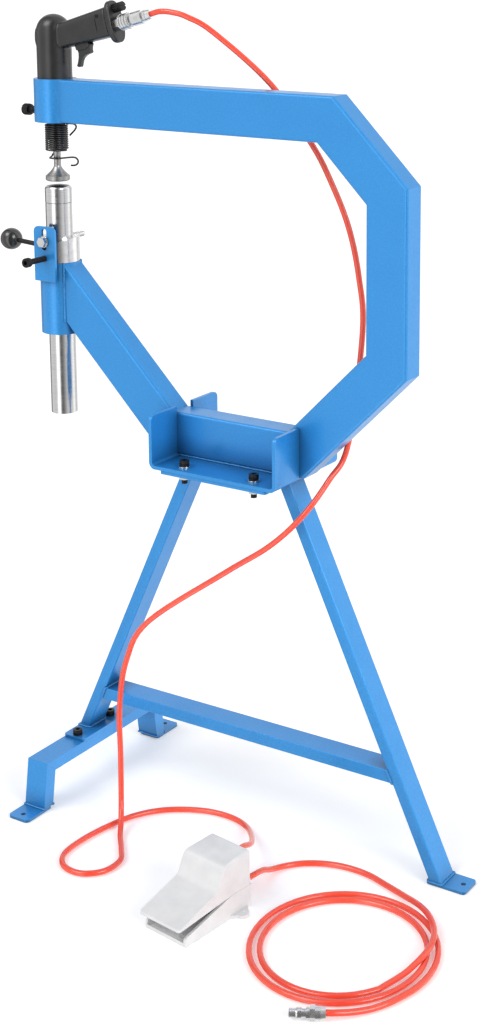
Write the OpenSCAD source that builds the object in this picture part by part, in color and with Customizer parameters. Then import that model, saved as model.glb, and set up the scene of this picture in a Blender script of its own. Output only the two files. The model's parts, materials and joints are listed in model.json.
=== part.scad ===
// Pneumatic planishing hammer on its stand, with foot pedal and air hoses.
// Millimetres, +Z up. The frame stands on z = 0, the throat opens towards -X.

/* [C-frame] */
// Distance from the tool axis to the inner face of the column
throat = 522; // [470:1:600]
// Clear height between the base tube and the upper arm
throat_h = 389; // [370:1:430]
// Depth of the frame tube, in the plane of the frame
tube_h = 61; // [56:1:66]
// Width of the frame tube
tube_w = 37; // [34:1:42]
// Wall of the frame tube
tube_wall = 3; // [2:0.5:4]
// Corner radius of the frame tube
tube_r = 4; // [2:0.5:6]
// Length that the upper corner is cut back along each side
upper_chamfer = 74; // [60:1:90]
// Length that the lower corner is cut back along each side
lower_chamfer = 120; // [105:1:130]
// Distance from the tool axis to where the lower arm leaves the base tube
arm_root = 212; // [206:1:220]
// Height of the underside of the base tube above the floor
base_z = 526; // [500:1:560]

/* [Anvil and height cam] */
// Radius of the anvil post
post_r = 19; // [17:0.5:20]
// Wall of the anvil holder round the post
holder_wall = 10; // [8:0.5:12]
// Height of the anvil holder
holder_h = 104; // [90:1:110]
// Length of post that hangs below the holder
post_tail = 120; // [60:1:130]
// Height of the anvil above the post
anvil_h = 26; // [20:1:32]
// Radius of the sphere that the anvil's face is ground to
anvil_crown = 60; // [40:1:200]
// Height of the cam collar at its lowest point
cam_low = 23; // [20:0.5:26]
// Rise of each cam ramp for one degree of turn
cam_lift = 0.1; // [0.06:0.01:0.11]
// Diameter of the cross bolt and the lock screw
bolt_d = 8; // [6:1:8]
// Length of the cam lever from the collar to the middle of its ball
lever_l = 64; // [50:1:80]
// Radius of the lever's ball knob
ball_r = 16; // [12:0.5:18]

/* [Air hammer] */
// Radius of the hammer housing inside its holder
housing_r = 24.5; // [23:0.5:27]
// Wall of the hammer holder
ring_wall = 5.5; // [4.5:0.5:8]
// Outer radius of the steel barrel
barrel_r = 12.6; // [12:0.1:12.6]
// Radius of the cylinder bore that the piston runs in
cylinder_r = 9.5; // [8:0.25:10]
// Length of the piston
piston_l = 35; // [25:1:45]
// Radius of the tool shank
shank_r = 5.1; // [4.5:0.1:5.5]
// Distance from the underside of the upper arm down to the tool's face
tool_reach = 84.5; // [80:0.5:90]
// Gap between the tool and the anvil with the cam at rest
work_gap = 5.5; // [5:0.5:8]
// Radius of the tool's hammering face
tool_r = 17.2; // [14:0.2:20]
// Length of the hammer's handle
handle_l = 80; // [76:1:95]
// Width of the hammer's handle
handle_w = 31; // [28:1:34]
// Angle by which the handle rises
handle_rise = 14.5; // [10:0.5:18]

/* [Stand] */
// Spread of each leg for each unit of height
leg_slope = 0.465; // [0.4:0.005:0.5]
// Width of the stand's tube, across the machine
leg_w = 36; // [30:1:40]
// Thickness of the stand's tube
leg_t = 17.5; // [15:0.5:20]
// Wall of the stand's tube
leg_wall = 2; // [1.5:0.25:3]
// Length of the saddle bracket between its outer faces
saddle_l = 207; // [200:1:207]
// Width of the saddle bracket
saddle_w = 152; // [140:1:170]
// Thickness of the saddle bracket and the plate under it
plate_t = 5; // [4:0.5:6]
// Height of the crossbar's top edge above the floor
crossbar_z = 145; // [110:1:200]
// Height of the top of the foot beam above the floor
foot_z = 70.5; // [60:0.5:80]
// Length of the foot beam
foot_l = 260; // [220:1:300]
// Thickness of the plates that rest on the floor
pad_t = 4; // [3:0.5:6]
// Radius of the holes in the floor plates
anchor_r = 3.5; // [3:0.25:5]

/* [Foot pedal] */
// Width of the foot pedal
pedal_w = 71; // [66:1:80]
// Length of the pedal's base
pedal_l = 120; // [120:1:130]
// Wall of the pedal's castings
pedal_wall = 3.5; // [2.5:0.25:4]
// Angle that the pedal travels
pedal_turn = 8; // [4:0.5:8]

/* [Hoses] */
// Outer diameter of the air hose
hose_d = 8; // [6:0.5:8]
// Turns of the coil on the floor
coil_turns = 1.96; // [1.96:1:2.96]

/* [Hidden] */
$fn = 64;
// Radial clearance of a running fit, and the space left between faces that move
fit = 0.05;
air = 0.3;

// Corners of the frame in its own plane, as [x, z] of the inner and the outer edge
base_top = base_z + tube_h;
arm_z = base_top + throat_h;
arm_top = arm_z + tube_h;
mitre = tube_h * tan(22.5);
a_in = [throat - upper_chamfer, arm_z];
a_out = a_in + [mitre, tube_h];
b_in = [throat, arm_z - upper_chamfer];
b_out = b_in + [tube_h, mitre];
c_in = [throat, base_top + lower_chamfer];
c_out = c_in + [tube_h, -mitre];
d_in = [throat - lower_chamfer, base_top];
d_out = d_in + [mitre, -tube_h];
e_in = [arm_root, base_top];
e_out = e_in + [-mitre, -tube_h];

// Anvil holder, post and the cam between them
holder_r = post_r + holder_wall;
holder_in = holder_r - 6;
holder_top = arm_root + base_top - holder_in;
holder_z = holder_top - holder_h;
cam_r = holder_r - 0.7;
cam_z = holder_top + 0.2;
cam_start = 53;
cam_peak = cam_z + cam_low + cam_lift * (170 - cam_start);
bolt_seat = bolt_d / 2 * 1.05 + 0.15;
bolt_z = cam_z + cam_low + cam_lift * (90 - cam_start) + bolt_seat;
plate_y = holder_r;
slot_plate_t = 4;
slot_w = bolt_d + 1;
slot_under = 7.8;
slot_over = 14.2;
washer_t = 1.6;
hex_h = 5.5;
hex_af = bolt_d * 1.625;
lock_z = cam_z + 6.8;
rod_r = 3.5;
rod_z = cam_z + 17.5;
rod_rise = 4;
ball_flat = 1;
ball_x = cam_r + lever_l;

// Heights of the hammer and its tool
tool_z = arm_z - tool_reach;
head_t = 7;
flare_h = 14.5;
anvil_top = tool_z - work_gap;
post_top = anvil_top - anvil_h;
post_z = holder_z - post_tail;
spigot_r = 8;
spigot_land = 4;
spigot_l = min(30, post_top - bolt_z - bolt_d / 2 - spigot_land);
nose_z = arm_z - 25;
bush_l = 34;
shank_top = arm_z + 14;
piston_z = arm_z + 22;
barrel_top = arm_z + 124;
housing_z = arm_z + 2;
dome_z = arm_z + 126.5;
clamp_z = arm_z + 14;
clamp_r = 5;
ring_r = housing_r + 2 * fit + ring_wall;

// Handle, in its own axes: u along the handle and w square to it
handle_at = [30, 0, arm_z + 123.8];
handle_h = 42.6;
handle_neck = 36;
end_plate_t = 8;
knob_w = 16;
knob_r = 6.4;
inlet_w = -5.5;
hex_t = 6;
nose_r = 5.9;
nose_end = 32;
sleeve_r = 11.2;
sleeve_l = 19.5;
body_end = 54;
nut_end = 67;
pin_r = 2.5;
trigger_pivot = [25.8, -16.2];
trigger_t = 12;
stem_u = 12;
stem_r = 2;
stem_foot = -18.4;
roll_pin_at = [65, 10.7];

// One wire wound as the retainer spring; places along it are [radius, angle, height]
wire_r = 1.3;
curl_r = 15.4;
curl_pitch = 3.1;
curls = 10.8;
curl_rings = 8;
curl_top = arm_z - 7;
curl_low = curl_top - curls * curl_pitch;
curl_start = 25;
grip_r = 10.6;
grip_z = curl_low - curl_pitch / 2;
grip_angle = curl_start + curls * 360 + 180;
ring_z = grip_z - 10;
collar_z = grip_z + wire_r + air;
collar_h = 6;
collar_r = 9.6;

// Saddle and stand
saddle_x = arm_root + 2.5;
saddle_mid = saddle_x + saddle_l / 2;
saddle_top = base_top + 8;
bend_r = 9;
stand_z = base_z - 2 * plate_t;
stand_half = 86.4;
stand_plate_w = saddle_w - 2;
bolt_dx = 57;
bolt_dy = saddle_w / 2 - 18;
m8_r = 4;
m8_head_r = 6.5;
m8_head_h = 8;
m8_washer_r = 8.5;
m8_washer_t = 1.8;
m8_hole = 4.3;
m8_nut_h = 6.5;
leg_span = leg_t * sqrt(1 + leg_slope * leg_slope);
leg_plate_t = 4;
leg_foot_z = foot_z + leg_plate_t;
left_foot_x = saddle_mid - stand_half - leg_slope * (stand_z - leg_foot_z);
right_foot_x = saddle_mid + stand_half + leg_slope * (stand_z - pad_t);
beam_x = left_foot_x + leg_w / 2 + 0.3;
beam_z = foot_z - leg_t + 1;
foot_splay = 0.14;
tab_l = 36;
leg_plate_l = 92;
leg_plate_mid = -6;
foot_bolt_dy = 37;
foot_pad_l = 58.5;

// Foot pedal, in its own axes: x across, y towards the rear
pedal_at = [398, -293, 0];
pedal_angle = -8;
tray_t = 3;
tread_front = -10.5;
tread_corner = 4;
riser_y = pedal_l - 68;
lug_y = pedal_l - 23;
pivot_y = pedal_l - 36;
pivot_z = 37;
seam_z = 31;
hood_z = 78.5;
skirt_angle = 4;
wall_front = seam_z - air - (pivot_y - 4) * tan(skirt_angle + pedal_turn + 0.8);
pin_stub_r = 3;
ear_in = 28.2;
pedal_in = pedal_w / 2 - pedal_wall;
block_w = 44;
spool_y = pivot_y - 9;
spool_r = 6;
spool_z = 28;
spool_top = 64;
port_r = 7;
port_l = 18.5;
port_y = pedal_l - tray_t;
port_a = [-12, 48];
port_b = [14, 22];

// The origin is under the middle of everything but the hoses
low_x = -ball_x - ball_r;
high_x = right_foot_x + foot_pad_l - 24.5;
high_y = foot_l / 2 + foot_splay * (foot_z - pad_t) + tab_l;
low_y = pedal_at[1] + (pedal_w / 2 - tread_corner) * sin(pedal_angle)
    + (tread_front + tread_corner) * cos(pedal_angle) - tread_corner;
mid_x = (low_x + high_x) / 2;
mid_y = (low_y + high_y) / 2;

// Route of the hose from the tool down to the pedal
tool_route = [
    [188, 0, 1134.7], [207, 2, 1134], [228, 8, 1128], [262, 20, 1108], [338, 43, 1041], [401, 45, 965],
    [432, 43, 918], [460, 42, 860], [476, 42, 795], [482, 42, 720], [470, 26, 570], [459, -5, 526],
    [441, -42, 484], [398, -56, 439], [331, -66, 391], [214, -84, 303], [178, -89, 240],
    [166, -92, 168], [170, -97, 100], [174, -102.5, 56.2], [177.6, -107.4, 31.8], [187.6, -120.9, 13.1],
    [201.6, -140, 4.5], [222, -163, 4.2], [240.6, -188.3, 4.2], [239.3, -218.9, 4.2],
    [216.7, -239.6, 4.2], [186.1, -238.3, 4.2], [165.4, -215.7, 4.2], [162, -178, 4.2],
    [168, -134, 4.2], [183, -86, 4.2], [214, -48, 4.2], [262, -23, 4.2], [306, -19, 4.2], [343, -34, 6],
    [390, -92, 28], [403, -132, 45]];

// Route of the supply hose from the pedal to the coil, where it passes over the turns
supply_route = [[433, -147, 22], [432, -126, 17], [432, -106, 8], [440, -84, 4.2], [458, -66, 4.2],
    [484, -52, 4.2], [514, -45, 4.2], [547, -46, 4.2], [580, -55, 4.2], [612, -66, 5.5],
    [642, -80, 9.5], [668, -99, 12.8], [688, -122, 12.8], [699, -146, 12.8], [703, -170, 12.8],
    [701, -194, 10], [696, -216, 6.5]];
coil_at = [601, -203, 4.2];
coil_r = 96;
coil_pitch = 13.5;
coil_start = -35;
coil_rings = 24;
tail_route = [[707, -268, 4.2], [695, -288, 4.2], [681, -305, 5.5]];
plug_at = [657, -326, 8.3];
plug_dir = [-0.862, -0.507, 0];

// Places and directions along the hoses
function unit(v) = v / norm(v);
function in_handle(u, w, y = 0) = handle_at
    + [u * cos(handle_rise) - w * sin(handle_rise), y, u * sin(handle_rise) + w * cos(handle_rise)];
function in_pedal(x, y, z) = pedal_at + [x * cos(pedal_angle) - y * sin(pedal_angle),
    x * sin(pedal_angle) + y * cos(pedal_angle), z];
handle_dir = [cos(handle_rise), 0, sin(handle_rise)];
pedal_dir = [-sin(pedal_angle), cos(pedal_angle), 0];
function coil_point(turn) = coil_at + (coil_r + coil_pitch * turn)
    * [cos(coil_start - 360 * turn), sin(coil_start - 360 * turn), 0];
function coil_dir(turn) = [sin(coil_start - 360 * turn), -cos(coil_start - 360 * turn), 0];
coil_in = coil_point(0) - hose_d * coil_dir(0);
coil_out = coil_point(coil_turns) + hose_d * coil_dir(coil_turns);
hose_face = in_handle(handle_l - 2 + end_plate_t + nut_end - 6, inlet_w);
face_a = in_pedal(port_a[0], port_y + port_l, port_a[1]);
face_b = in_pedal(port_b[0], port_y + port_l, port_b[1]);

// A smooth line through a list of points, with n steps between neighbours
function blend(p, q, r, s, t) = 0.5 * (2 * q + (r - p) * t + (2 * p - 5 * q + 4 * r - s) * t * t
    + (3 * q - p - 3 * r + s) * t * t * t);
function smooth(p, n) = let(last = len(p) - 1) concat(
    [for (i = [0:last - 1]) for (k = [0:n - 1])
        blend(p[max(i - 1, 0)], p[i], p[i + 1], p[min(i + 2, last)], k / n)],
    [p[last]]);
function along(p, first, end) = let(last = len(p) - 1)
    [for (i = [0:last]) i == 0 ? first : i == last ? end : unit(p[i + 1] - p[i - 1])];
function square_to(n, t) = unit(n - (n * t) * t);
function across(t) = [for (i = 0, n = square_to([0.31, 0.17, 1], t[0]); i < len(t);
    i = i + 1, n = square_to(n, t[min(i, len(t) - 1)])) n];
// Least space between stretches of one tube that are further apart along it than skip rings
function self_gap(p, r, skip) = min([for (i = [0:len(p) - 1 - skip]) for (k = [i + skip:len(p) - 1])
    norm(p[i] - p[k])]) - 2 * r;

module tube(p, r, sides, first, end) {
    t = along(p, first, end);
    n = across(t);
    rings = len(p);
    points = [for (i = [0:rings - 1]) for (k = [0:sides - 1])
        p[i] + r * (cos(360 * k / sides) * n[i] + sin(360 * k / sides) * cross(t[i], n[i]))];
    start_cap = [for (k = [1:sides - 2]) [0, k, k + 1]];
    end_cap = let(b = (rings - 1) * sides) [for (k = [1:sides - 2]) [b, b + k + 1, b + k]];
    walls = [for (i = [0:rings - 2]) for (k = [0:sides - 1])
        let(a = i * sides + k, b = i * sides + (k + 1) % sides)
        each [[a, a + sides, b + sides], [a, b + sides, b]]];
    polyhedron(points, concat(start_cap, end_cap, walls));
}

// Shifts and frames that several pieces share
module place() {
    translate([-mid_x, -mid_y, 0]) children();
}

module handle_axes() {
    translate(handle_at) rotate([0, -handle_rise, 0]) children();
}

module pedal_axes() {
    translate(pedal_at) rotate([0, 0, pedal_angle]) children();
}

// A cylinder lying along +X, +Y, and a hexagonal prism along +Z
module rod_x(r, l) {
    rotate([0, 90, 0]) cylinder(r = r, h = l);
}

module rod_y(r, l) {
    rotate([-90, 0, 0]) cylinder(r = r, h = l);
}

module hexagon(af, h) {
    cylinder(r = af / 2 / cos(30), h = h, $fn = 6);
}

module rounded(w, h, r) {
    union() {
        translate([-w / 2 + r, -h / 2]) square([w - 2 * r, h]);
        translate([-w / 2, -h / 2 + r]) square([w, h - 2 * r]);
        for (x = [-1, 1]) for (y = [-1, 1])
            translate([x * (w / 2 - r), y * (h / 2 - r)]) circle(r = r);
    }
}

// Outline in the plane of the machine, made w thick about y = 0
module upright(w) {
    rotate([90, 0, 0]) linear_extrude(height = w, center = true) children();
}

// Rectangular tube along the line p to q in the plane of the frame, on the left of the line
module tube_run(p, q, h, w, wall, r) {
    d = q - p;
    over = h;
    translate([p[0], 0, p[1]]) rotate([0, -atan2(d[1], d[0]), 0]) translate([-over, 0, h / 2])
        rotate([90, 0, 90]) linear_extrude(height = norm(d) + 2 * over) difference() {
            rounded(w, h, r);
            square([w - 2 * wall, h - 2 * wall], center = true);
        }
}

// Frame member between two mitres, each given by its inner and outer corner
module member(p, q, p_out, q_out) {
    m = 0.2 * (p_out - p);
    n = 0.2 * (q_out - q);
    intersection() {
        tube_run(p, q, tube_h, tube_w, tube_wall, tube_r);
        upright(tube_w + 2) polygon([p - m, q - n, q_out + n, p_out + m]);
    }
}

module upper_arm() {
    color("royalblue") place() difference() {
        member([10, arm_z], a_in, [10, arm_top], a_out);
        translate([0, 0, arm_z - 20]) cylinder(r = ring_r, h = tube_h + 40);
    }
}

module upper_diagonal() {
    color("royalblue") place() member(a_in, b_in, a_out, b_out);
}

module column() {
    color("royalblue") place() member(b_in, c_in, b_out, c_out);
}

module lower_diagonal() {
    color("royalblue") place() member(c_in, d_in, c_out, d_out);
}

module base_segment() {
    color("royalblue") place() member(d_in, e_in, d_out, e_out);
}

// The inclined arm is cut level at the top and coped to the holder
module lower_arm() {
    top = [holder_in, holder_top];
    foot = e_out + 0.2 * (e_out - e_in);
    color("royalblue") place() difference() {
        intersection() {
            tube_run(e_in, top, tube_h, tube_w, tube_wall, tube_r);
            upright(tube_w + 2) polygon([e_in - 0.2 * (e_out - e_in), [holder_in + 20, holder_top],
                [5, holder_top], [5, holder_z], [holder_in, holder_z - 40], foot]);
        }
        translate([0, 0, holder_z - 20]) cylinder(r = holder_r, h = holder_h + 40);
    }
}

// Short tube that grips the hammer's housing, with a tapped hole for its clamp screw
module hammer_holder() {
    color("royalblue") place() difference() {
        translate([0, 0, arm_z]) cylinder(r = ring_r, h = tube_h);
        translate([0, 0, arm_z - 1]) cylinder(r = housing_r + 2 * fit, h = tube_h + 2);
        translate([-ring_r - 1, 0, clamp_z]) rod_x(clamp_r + fit, ring_wall + 4);
    }
}

module barrel_clamp_screw() {
    color("dimgray") place() difference() {
        union() {
            translate([-housing_r - air - 22.8, 0, clamp_z]) rod_x(clamp_r, 22.8);
            translate([-housing_r - air - 32.8, 0, clamp_z]) rod_x(8, 10);
        }
        translate([-housing_r - air - 33, 0, clamp_z]) rotate([0, 90, 0]) hexagon(8, 5.2);
    }
}

module anvil_holder() {
    color("royalblue") place() difference() {
        translate([0, 0, holder_z]) cylinder(r = holder_r, h = holder_h);
        translate([0, 0, holder_z - 1]) cylinder(r = post_r + 0.08, h = holder_h + 2);
    }
}

// Upright plate welded to the front of the holder, slotted for the cross bolt
module slot_plate() {
    half = post_r;
    low = holder_top - 26;
    high = bolt_z + bolt_d / 2 + slot_over + 3.5;
    round_r = 8;
    color("royalblue") place() difference() {
        union() {
            translate([0, -plate_y - slot_plate_t, 0]) rotate([90, 0, 180]) linear_extrude(height = slot_plate_t)
                union() {
                    translate([-half, low]) square([2 * half, high - low - round_r]);
                    translate([-half + round_r, low]) square([2 * (half - round_r), high - low]);
                    for (x = [-1, 1]) translate([x * (half - round_r), high - round_r])
                        circle(r = round_r);
                }
            difference() {
                translate([-12, -plate_y - 1, low + 2]) cube([24, 6, 22]);
                translate([0, 0, low]) cylinder(r = holder_r, h = 30);
            }
        }
        translate([0, -plate_y - slot_plate_t - 1, bolt_z]) rotate([90, 0, 180])
            linear_extrude(height = slot_plate_t + 2) union() {
                translate([-slot_w / 2, -slot_under]) square([slot_w, slot_under + slot_over]);
                for (z = [-slot_under, slot_over]) translate([0, z]) circle(r = slot_w / 2);
            }
        translate([0, -plate_y - slot_plate_t - 1, lock_z]) rod_y(bolt_d / 2 + fit, slot_plate_t + 2);
    }
}

// Cross bolt through the post, which guides it in the slot and rests on the cam
module cross_bolt() {
    face = -plate_y - slot_plate_t - air;
    color("silver") place() translate([0, 0, bolt_z]) union() {
        translate([0, face - washer_t - 1, 0]) rod_y(bolt_d / 2, 84 + washer_t + 1);
        translate([0, face - washer_t, 0]) rod_y(bolt_d, washer_t);
        translate([0, face - washer_t, 0]) rotate([90, 0, 0]) hexagon(hex_af, hex_h);
    }
}

module anvil_post() {
    color("silver") place() difference() {
        translate([0, 0, post_z]) cylinder(r = post_r, h = post_top - post_z);
        translate([0, 0, post_top - spigot_l - 1]) cylinder(r = spigot_r + fit, h = spigot_l + 2);
        translate([0, -post_r - 1, bolt_z]) rod_y(bolt_d / 2 + fit, 2 * post_r + 2);
    }
}

// Anvil turned with a crowned face, a rounded edge and a spigot
module anvil() {
    r = post_r + 0.2;
    edge = 4.4;
    face = r - edge;
    sag = anvil_crown - sqrt(anvil_crown * anvil_crown - face * face);
    crown = [for (i = [0:6]) let(x = face * i / 6)
        [x, anvil_h - anvil_crown + sqrt(anvil_crown * anvil_crown - x * x)]];
    side = [for (i = [1:6]) [face + edge * sin(i * 15), anvil_h - sag - edge + edge * cos(i * 15)]];
    color("silver") place() translate([0, 0, post_top]) rotate_extrude()
        polygon(concat([[0, -spigot_l]], crown, side,
            [[r, 1], [r - 1, 0], [spigot_r, 0], [spigot_r, -spigot_l + 1], [spigot_r - 1, -spigot_l]]));
}

// Height of the cam's rim at an angle: two like ramps, each with a flat top and a sharp drop
function rim(angle) = let(a = (angle + 360 - cam_start) % 180, top = 170 - cam_start)
    cam_z + cam_low + cam_lift * (a < top ? a : a < 172 ? top : top * (180 - a) / 8);

// Collar with a helical rim that lifts the cross bolt as the lever turns it
module cam_collar() {
    steps = 90;
    inner = post_r - 3;
    outer = cam_r + 4;
    ceiling = cam_peak + 6;
    points = [for (i = [0:steps - 1]) let(a = 360 * i / steps, c = [cos(a), sin(a), 0])
        each [inner * c + [0, 0, rim(a)], outer * c + [0, 0, rim(a)],
            outer * c + [0, 0, ceiling], inner * c + [0, 0, ceiling]]];
    walls = [for (i = [0:steps - 1]) for (k = [0:3])
        let(p = 4 * i + k, q = 4 * i + (k + 1) % 4,
            s = 4 * ((i + 1) % steps) + k, t = 4 * ((i + 1) % steps) + (k + 1) % 4)
        each [[p, t, s], [p, q, t]]];
    color("silver") place() difference() {
        translate([0, 0, cam_z]) cylinder(r = cam_r, h = cam_peak - cam_z + 3);
        translate([0, 0, cam_z - 1]) cylinder(r = post_r + 0.08, h = cam_peak - cam_z + 6);
        polyhedron(points, walls);
        translate([-cam_r - 1, 0, rod_z]) rod_x(rod_r + fit, 7);
    }
}

module lever_rod() {
    color("silver") place() translate([-cam_r + 5, 0, rod_z]) union() {
        rotate([0, 180, 0]) rod_x(rod_r, 8);
        translate([-5, 0, 0]) rotate([0, 180 + rod_rise, 0])
            rod_x(rod_r, lever_l / cos(rod_rise) - ball_r + ball_flat);
    }
}

module ball_knob() {
    flat_angle = acos(1 - ball_flat / ball_r);
    color("black") place() translate([-ball_x, 0, rod_z + lever_l * tan(rod_rise)])
        rotate([0, 90 + rod_rise, 0]) rotate_extrude() polygon(concat([[0, ball_r - ball_flat]],
            [for (i = [0:24]) let(a = flat_angle + (180 - flat_angle) * i / 24) ball_r * [sin(a), cos(a)]]));
}

module lock_screw() {
    color("dimgray") place() translate([0, -cam_r - air, lock_z]) difference() {
        union() {
            rotate([180, 0, 0]) rod_y(bolt_d / 2, 36.4);
            translate([0, -44.4, 0]) rod_y(6.5, 8);
        }
        translate([0, -44.6, 0]) rotate([-90, 0, 0]) hexagon(6, 4.2);
    }
}

// Hammer casting: the barrel's casing with its dome, and the handle that tapers into it
module hammer_housing() {
    neck = handle_neck / 2;
    color("steelblue") place() difference() {
        union() {
            translate([0, 0, housing_z]) cylinder(r = housing_r, h = dome_z - housing_z);
            translate([0, 0, dome_z]) sphere(r = housing_r);
            handle_axes() hull() {
                translate([-15, 0, 0]) rotate([90, 0, 90]) linear_extrude(height = 1)
                    rounded(handle_w, 2 * neck, 12, $fn = 32);
                translate([handle_l - 3, 0, 0]) rotate([90, 0, 90]) linear_extrude(height = 1)
                    rounded(handle_w, handle_h, 12, $fn = 32);
            }
        }
        translate([0, 0, housing_z - 1]) cylinder(r = barrel_r + fit, h = barrel_top - housing_z + 1.2);
        handle_axes() {
            translate([2, -trigger_t / 2 - air, -40]) cube([38, trigger_t + 2 * air, 30]);
            translate([stem_u, 0, -20]) cylinder(r = stem_r + fit, h = 20);
            translate([stem_u, 0, -1.4]) cylinder(r = 4, h = 15);
            translate([trigger_pivot[0], -20, trigger_pivot[1]]) rod_y(pin_r + fit, 40);
            translate([roll_pin_at[0], -20, roll_pin_at[1]]) rod_y(pin_r + fit, 40);
        }
    }
}

module roll_pin() {
    color("dimgray") place() handle_axes() translate([roll_pin_at[0], -handle_w / 2 - 0.4, roll_pin_at[1]])
        rod_y(pin_r, handle_w + 0.8);
}

module trigger_pin() {
    color("dimgray") place() handle_axes() translate([trigger_pivot[0], -11, trigger_pivot[1]])
        rod_y(pin_r, 22);
}

// Trigger with a hollowed finger face, a hooked tip and an eye for its pin
module trigger() {
    color("black") place() handle_axes() difference() {
        upright(trigger_t) union() {
            polygon([[5.4, -18.7], [8, -29], [6, -36], [2.5, -42], [-1, -46], [3.5, -48.6], [8, -48.9],
                [10, -46.5], [13, -41.6], [16.3, -38], [20.5, -36], [26, -35.4], [30.5, -35], [33, -34],
                [34, -32], [32.5, -29.8], [34, -26], [36.4, -23], [33, -19.4], [29, -16], [22, -18.7]]);
            translate(trigger_pivot) circle(r = 5);
        }
        translate([trigger_pivot[0], -20, trigger_pivot[1]]) rod_y(pin_r + fit, 40);
    }
}

module valve_stem() {
    color("silver") place() handle_axes() translate([stem_u, 0, 0]) union() {
        translate([0, 0, stem_foot]) cylinder(r = stem_r, h = -stem_foot);
        translate([0, 0, -1]) cylinder(r = 3.6, h = 2);
    }
}

module valve_spring() {
    color("gray") place() handle_axes() translate([stem_u, 0, 1.1]) difference() {
        cylinder(r = 3.4, h = 12.4);
        translate([0, 0, -1]) cylinder(r = 2.4, h = 15);
    }
}

module steel_barrel() {
    color("silver") place() difference() {
        translate([0, 0, nose_z]) cylinder(r = barrel_r, h = barrel_top - nose_z);
        translate([0, 0, nose_z - 1]) cylinder(r = shank_r + fit, h = bush_l + 2);
        translate([0, 0, nose_z + bush_l]) cylinder(r = cylinder_r, h = barrel_top - nose_z);
    }
}

module piston() {
    color("silver") place() translate([0, 0, piston_z]) cylinder(r = cylinder_r - fit, h = piston_l);
}

// Tool with a broad face, a hollow flare up to the shank and a retaining collar
module planishing_tool() {
    flare = [for (i = [0:8]) let(t = 1 - i / 8)
        [shank_r + (tool_r - shank_r) * pow(t, 1.5), head_t + flare_h * (1 - t)]];
    color("silver") place() union() {
        translate([0, 0, tool_z]) rotate_extrude() polygon(concat(
            [[0, 0], [tool_r - 1.5, 0], [tool_r, 1.5]], flare,
            [[shank_r, shank_top - tool_z - 1], [shank_r - 1, shank_top - tool_z], [0, shank_top - tool_z]]));
        translate([0, 0, collar_z]) cylinder(r = collar_r, h = collar_h);
    }
}

// Retainer spring: hooked top end, close curls, a half turn that grips the tool under its
// collar, a riser, one small ring and the hooked tail
function polar(v) = [v[0] * cos(v[1]), v[0] * sin(v[1]), v[2]];
hook_top = [[18.6, 42, curl_top - 14.4], [23, 42, curl_top - 10], [26.5, 42, curl_top - 6.4],
    [27.4, 42, curl_top - 3], [24.5, 42, curl_top - 0.3], [20.5, 41, curl_top + 0.2],
    [17.3, 36, curl_top + 0.3]];
curl_line = [for (i = [0:curls * curl_rings]) let(t = i / curl_rings)
    [curl_r, curl_start + 360 * t, curl_top - curl_pitch * t]];
grip_line = [for (i = [1:4]) let(t = i / 4)
    [curl_r + (grip_r - curl_r) * t, curl_start + curls * 360 + 180 * t, curl_low - curl_pitch / 2 * t]];
riser_line = [for (i = [1:3]) [grip_r, grip_angle + 14 * i, grip_z - [0, 1.6, 5, 8.4][i]]];
ring_line = [for (i = [0:4]) [grip_r, grip_angle + 68 + 40 * i, ring_z]];
tail_low = [[12.4, 18, ring_z], [16.4, 36, ring_z], [21.5, 41, ring_z], [26, 42, ring_z - 1],
    [28.9, 42, ring_z - 5], [28.2, 42, ring_z - 9], [24.5, 42, ring_z - 11.6], [18.5, 42, ring_z - 11.6]];
spring_path = [for (v = concat(hook_top, curl_line, grip_line, riser_line, ring_line, tail_low)) polar(v)];

module retainer_spring() {
    p = spring_path;
    last = len(p) - 1;
    echo(spring_gap = self_gap(p, wire_r, 6));
    color("silver") place() tube(p, wire_r, 6, unit(p[1] - p[0]), unit(p[last] - p[last - 1]));
}

// Plate that closes the handle, wider than the handle at both ends
module handle_end_plate() {
    tall = 28;
    low = -31;
    color("black") place() handle_axes() difference() {
        translate([handle_l - 2, 0, 0]) rotate([90, 0, 90]) linear_extrude(height = end_plate_t) union() {
            translate([-handle_w / 2, low + 9]) square([handle_w, tall - low - 16]);
            translate([-handle_w / 2 + 7, 0]) square([handle_w - 14, tall]);
            translate([-handle_w / 2 + 9, low]) square([handle_w - 18, -low]);
            for (x = [-1, 1]) translate([x * (handle_w / 2 - 7), tall - 7]) circle(r = 7);
            for (x = [-1, 1]) translate([x * (handle_w / 2 - 9), low + 9]) circle(r = 9);
        }
        translate([handle_l - 3, 0, inlet_w]) rod_x(6 + fit, end_plate_t + 2);
        translate([handle_l - 3, 0, knob_w]) rod_x(3 + fit, end_plate_t + 2);
    }
}

module regulator_knob() {
    color("silver") place() handle_axes() translate([handle_l - 2, 0, knob_w]) union() {
        rod_x(3, end_plate_t + 1);
        translate([end_plate_t + air, 0, 0]) difference() {
            rod_x(knob_r, 16);
            for (a = [0:30:330]) rotate([a, 0, 0]) translate([-1, 0, knob_r + 0.5]) rod_x(1.2, 14, $fn = 16);
            translate([14.5, -knob_r, -0.8]) cube([3, 2 * knob_r, 1.6]);
        }
    }
}

// Air inlet: hexagon against the end plate, spigot in the plate and the coupling's nose
module inlet_nipple() {
    color("silver") place() handle_axes() translate([handle_l - 2, 0, inlet_w]) difference() {
        union() {
            rod_x(6, end_plate_t + 1);
            translate([end_plate_t, 0, 0]) rotate([0, 90, 0]) hexagon(17, hex_t);
            translate([end_plate_t, 0, 0]) rod_x(nose_r, nose_end - end_plate_t + 2);
        }
        translate([-1, 0, 0]) rod_x(3.5, 40);
    }
}

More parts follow.
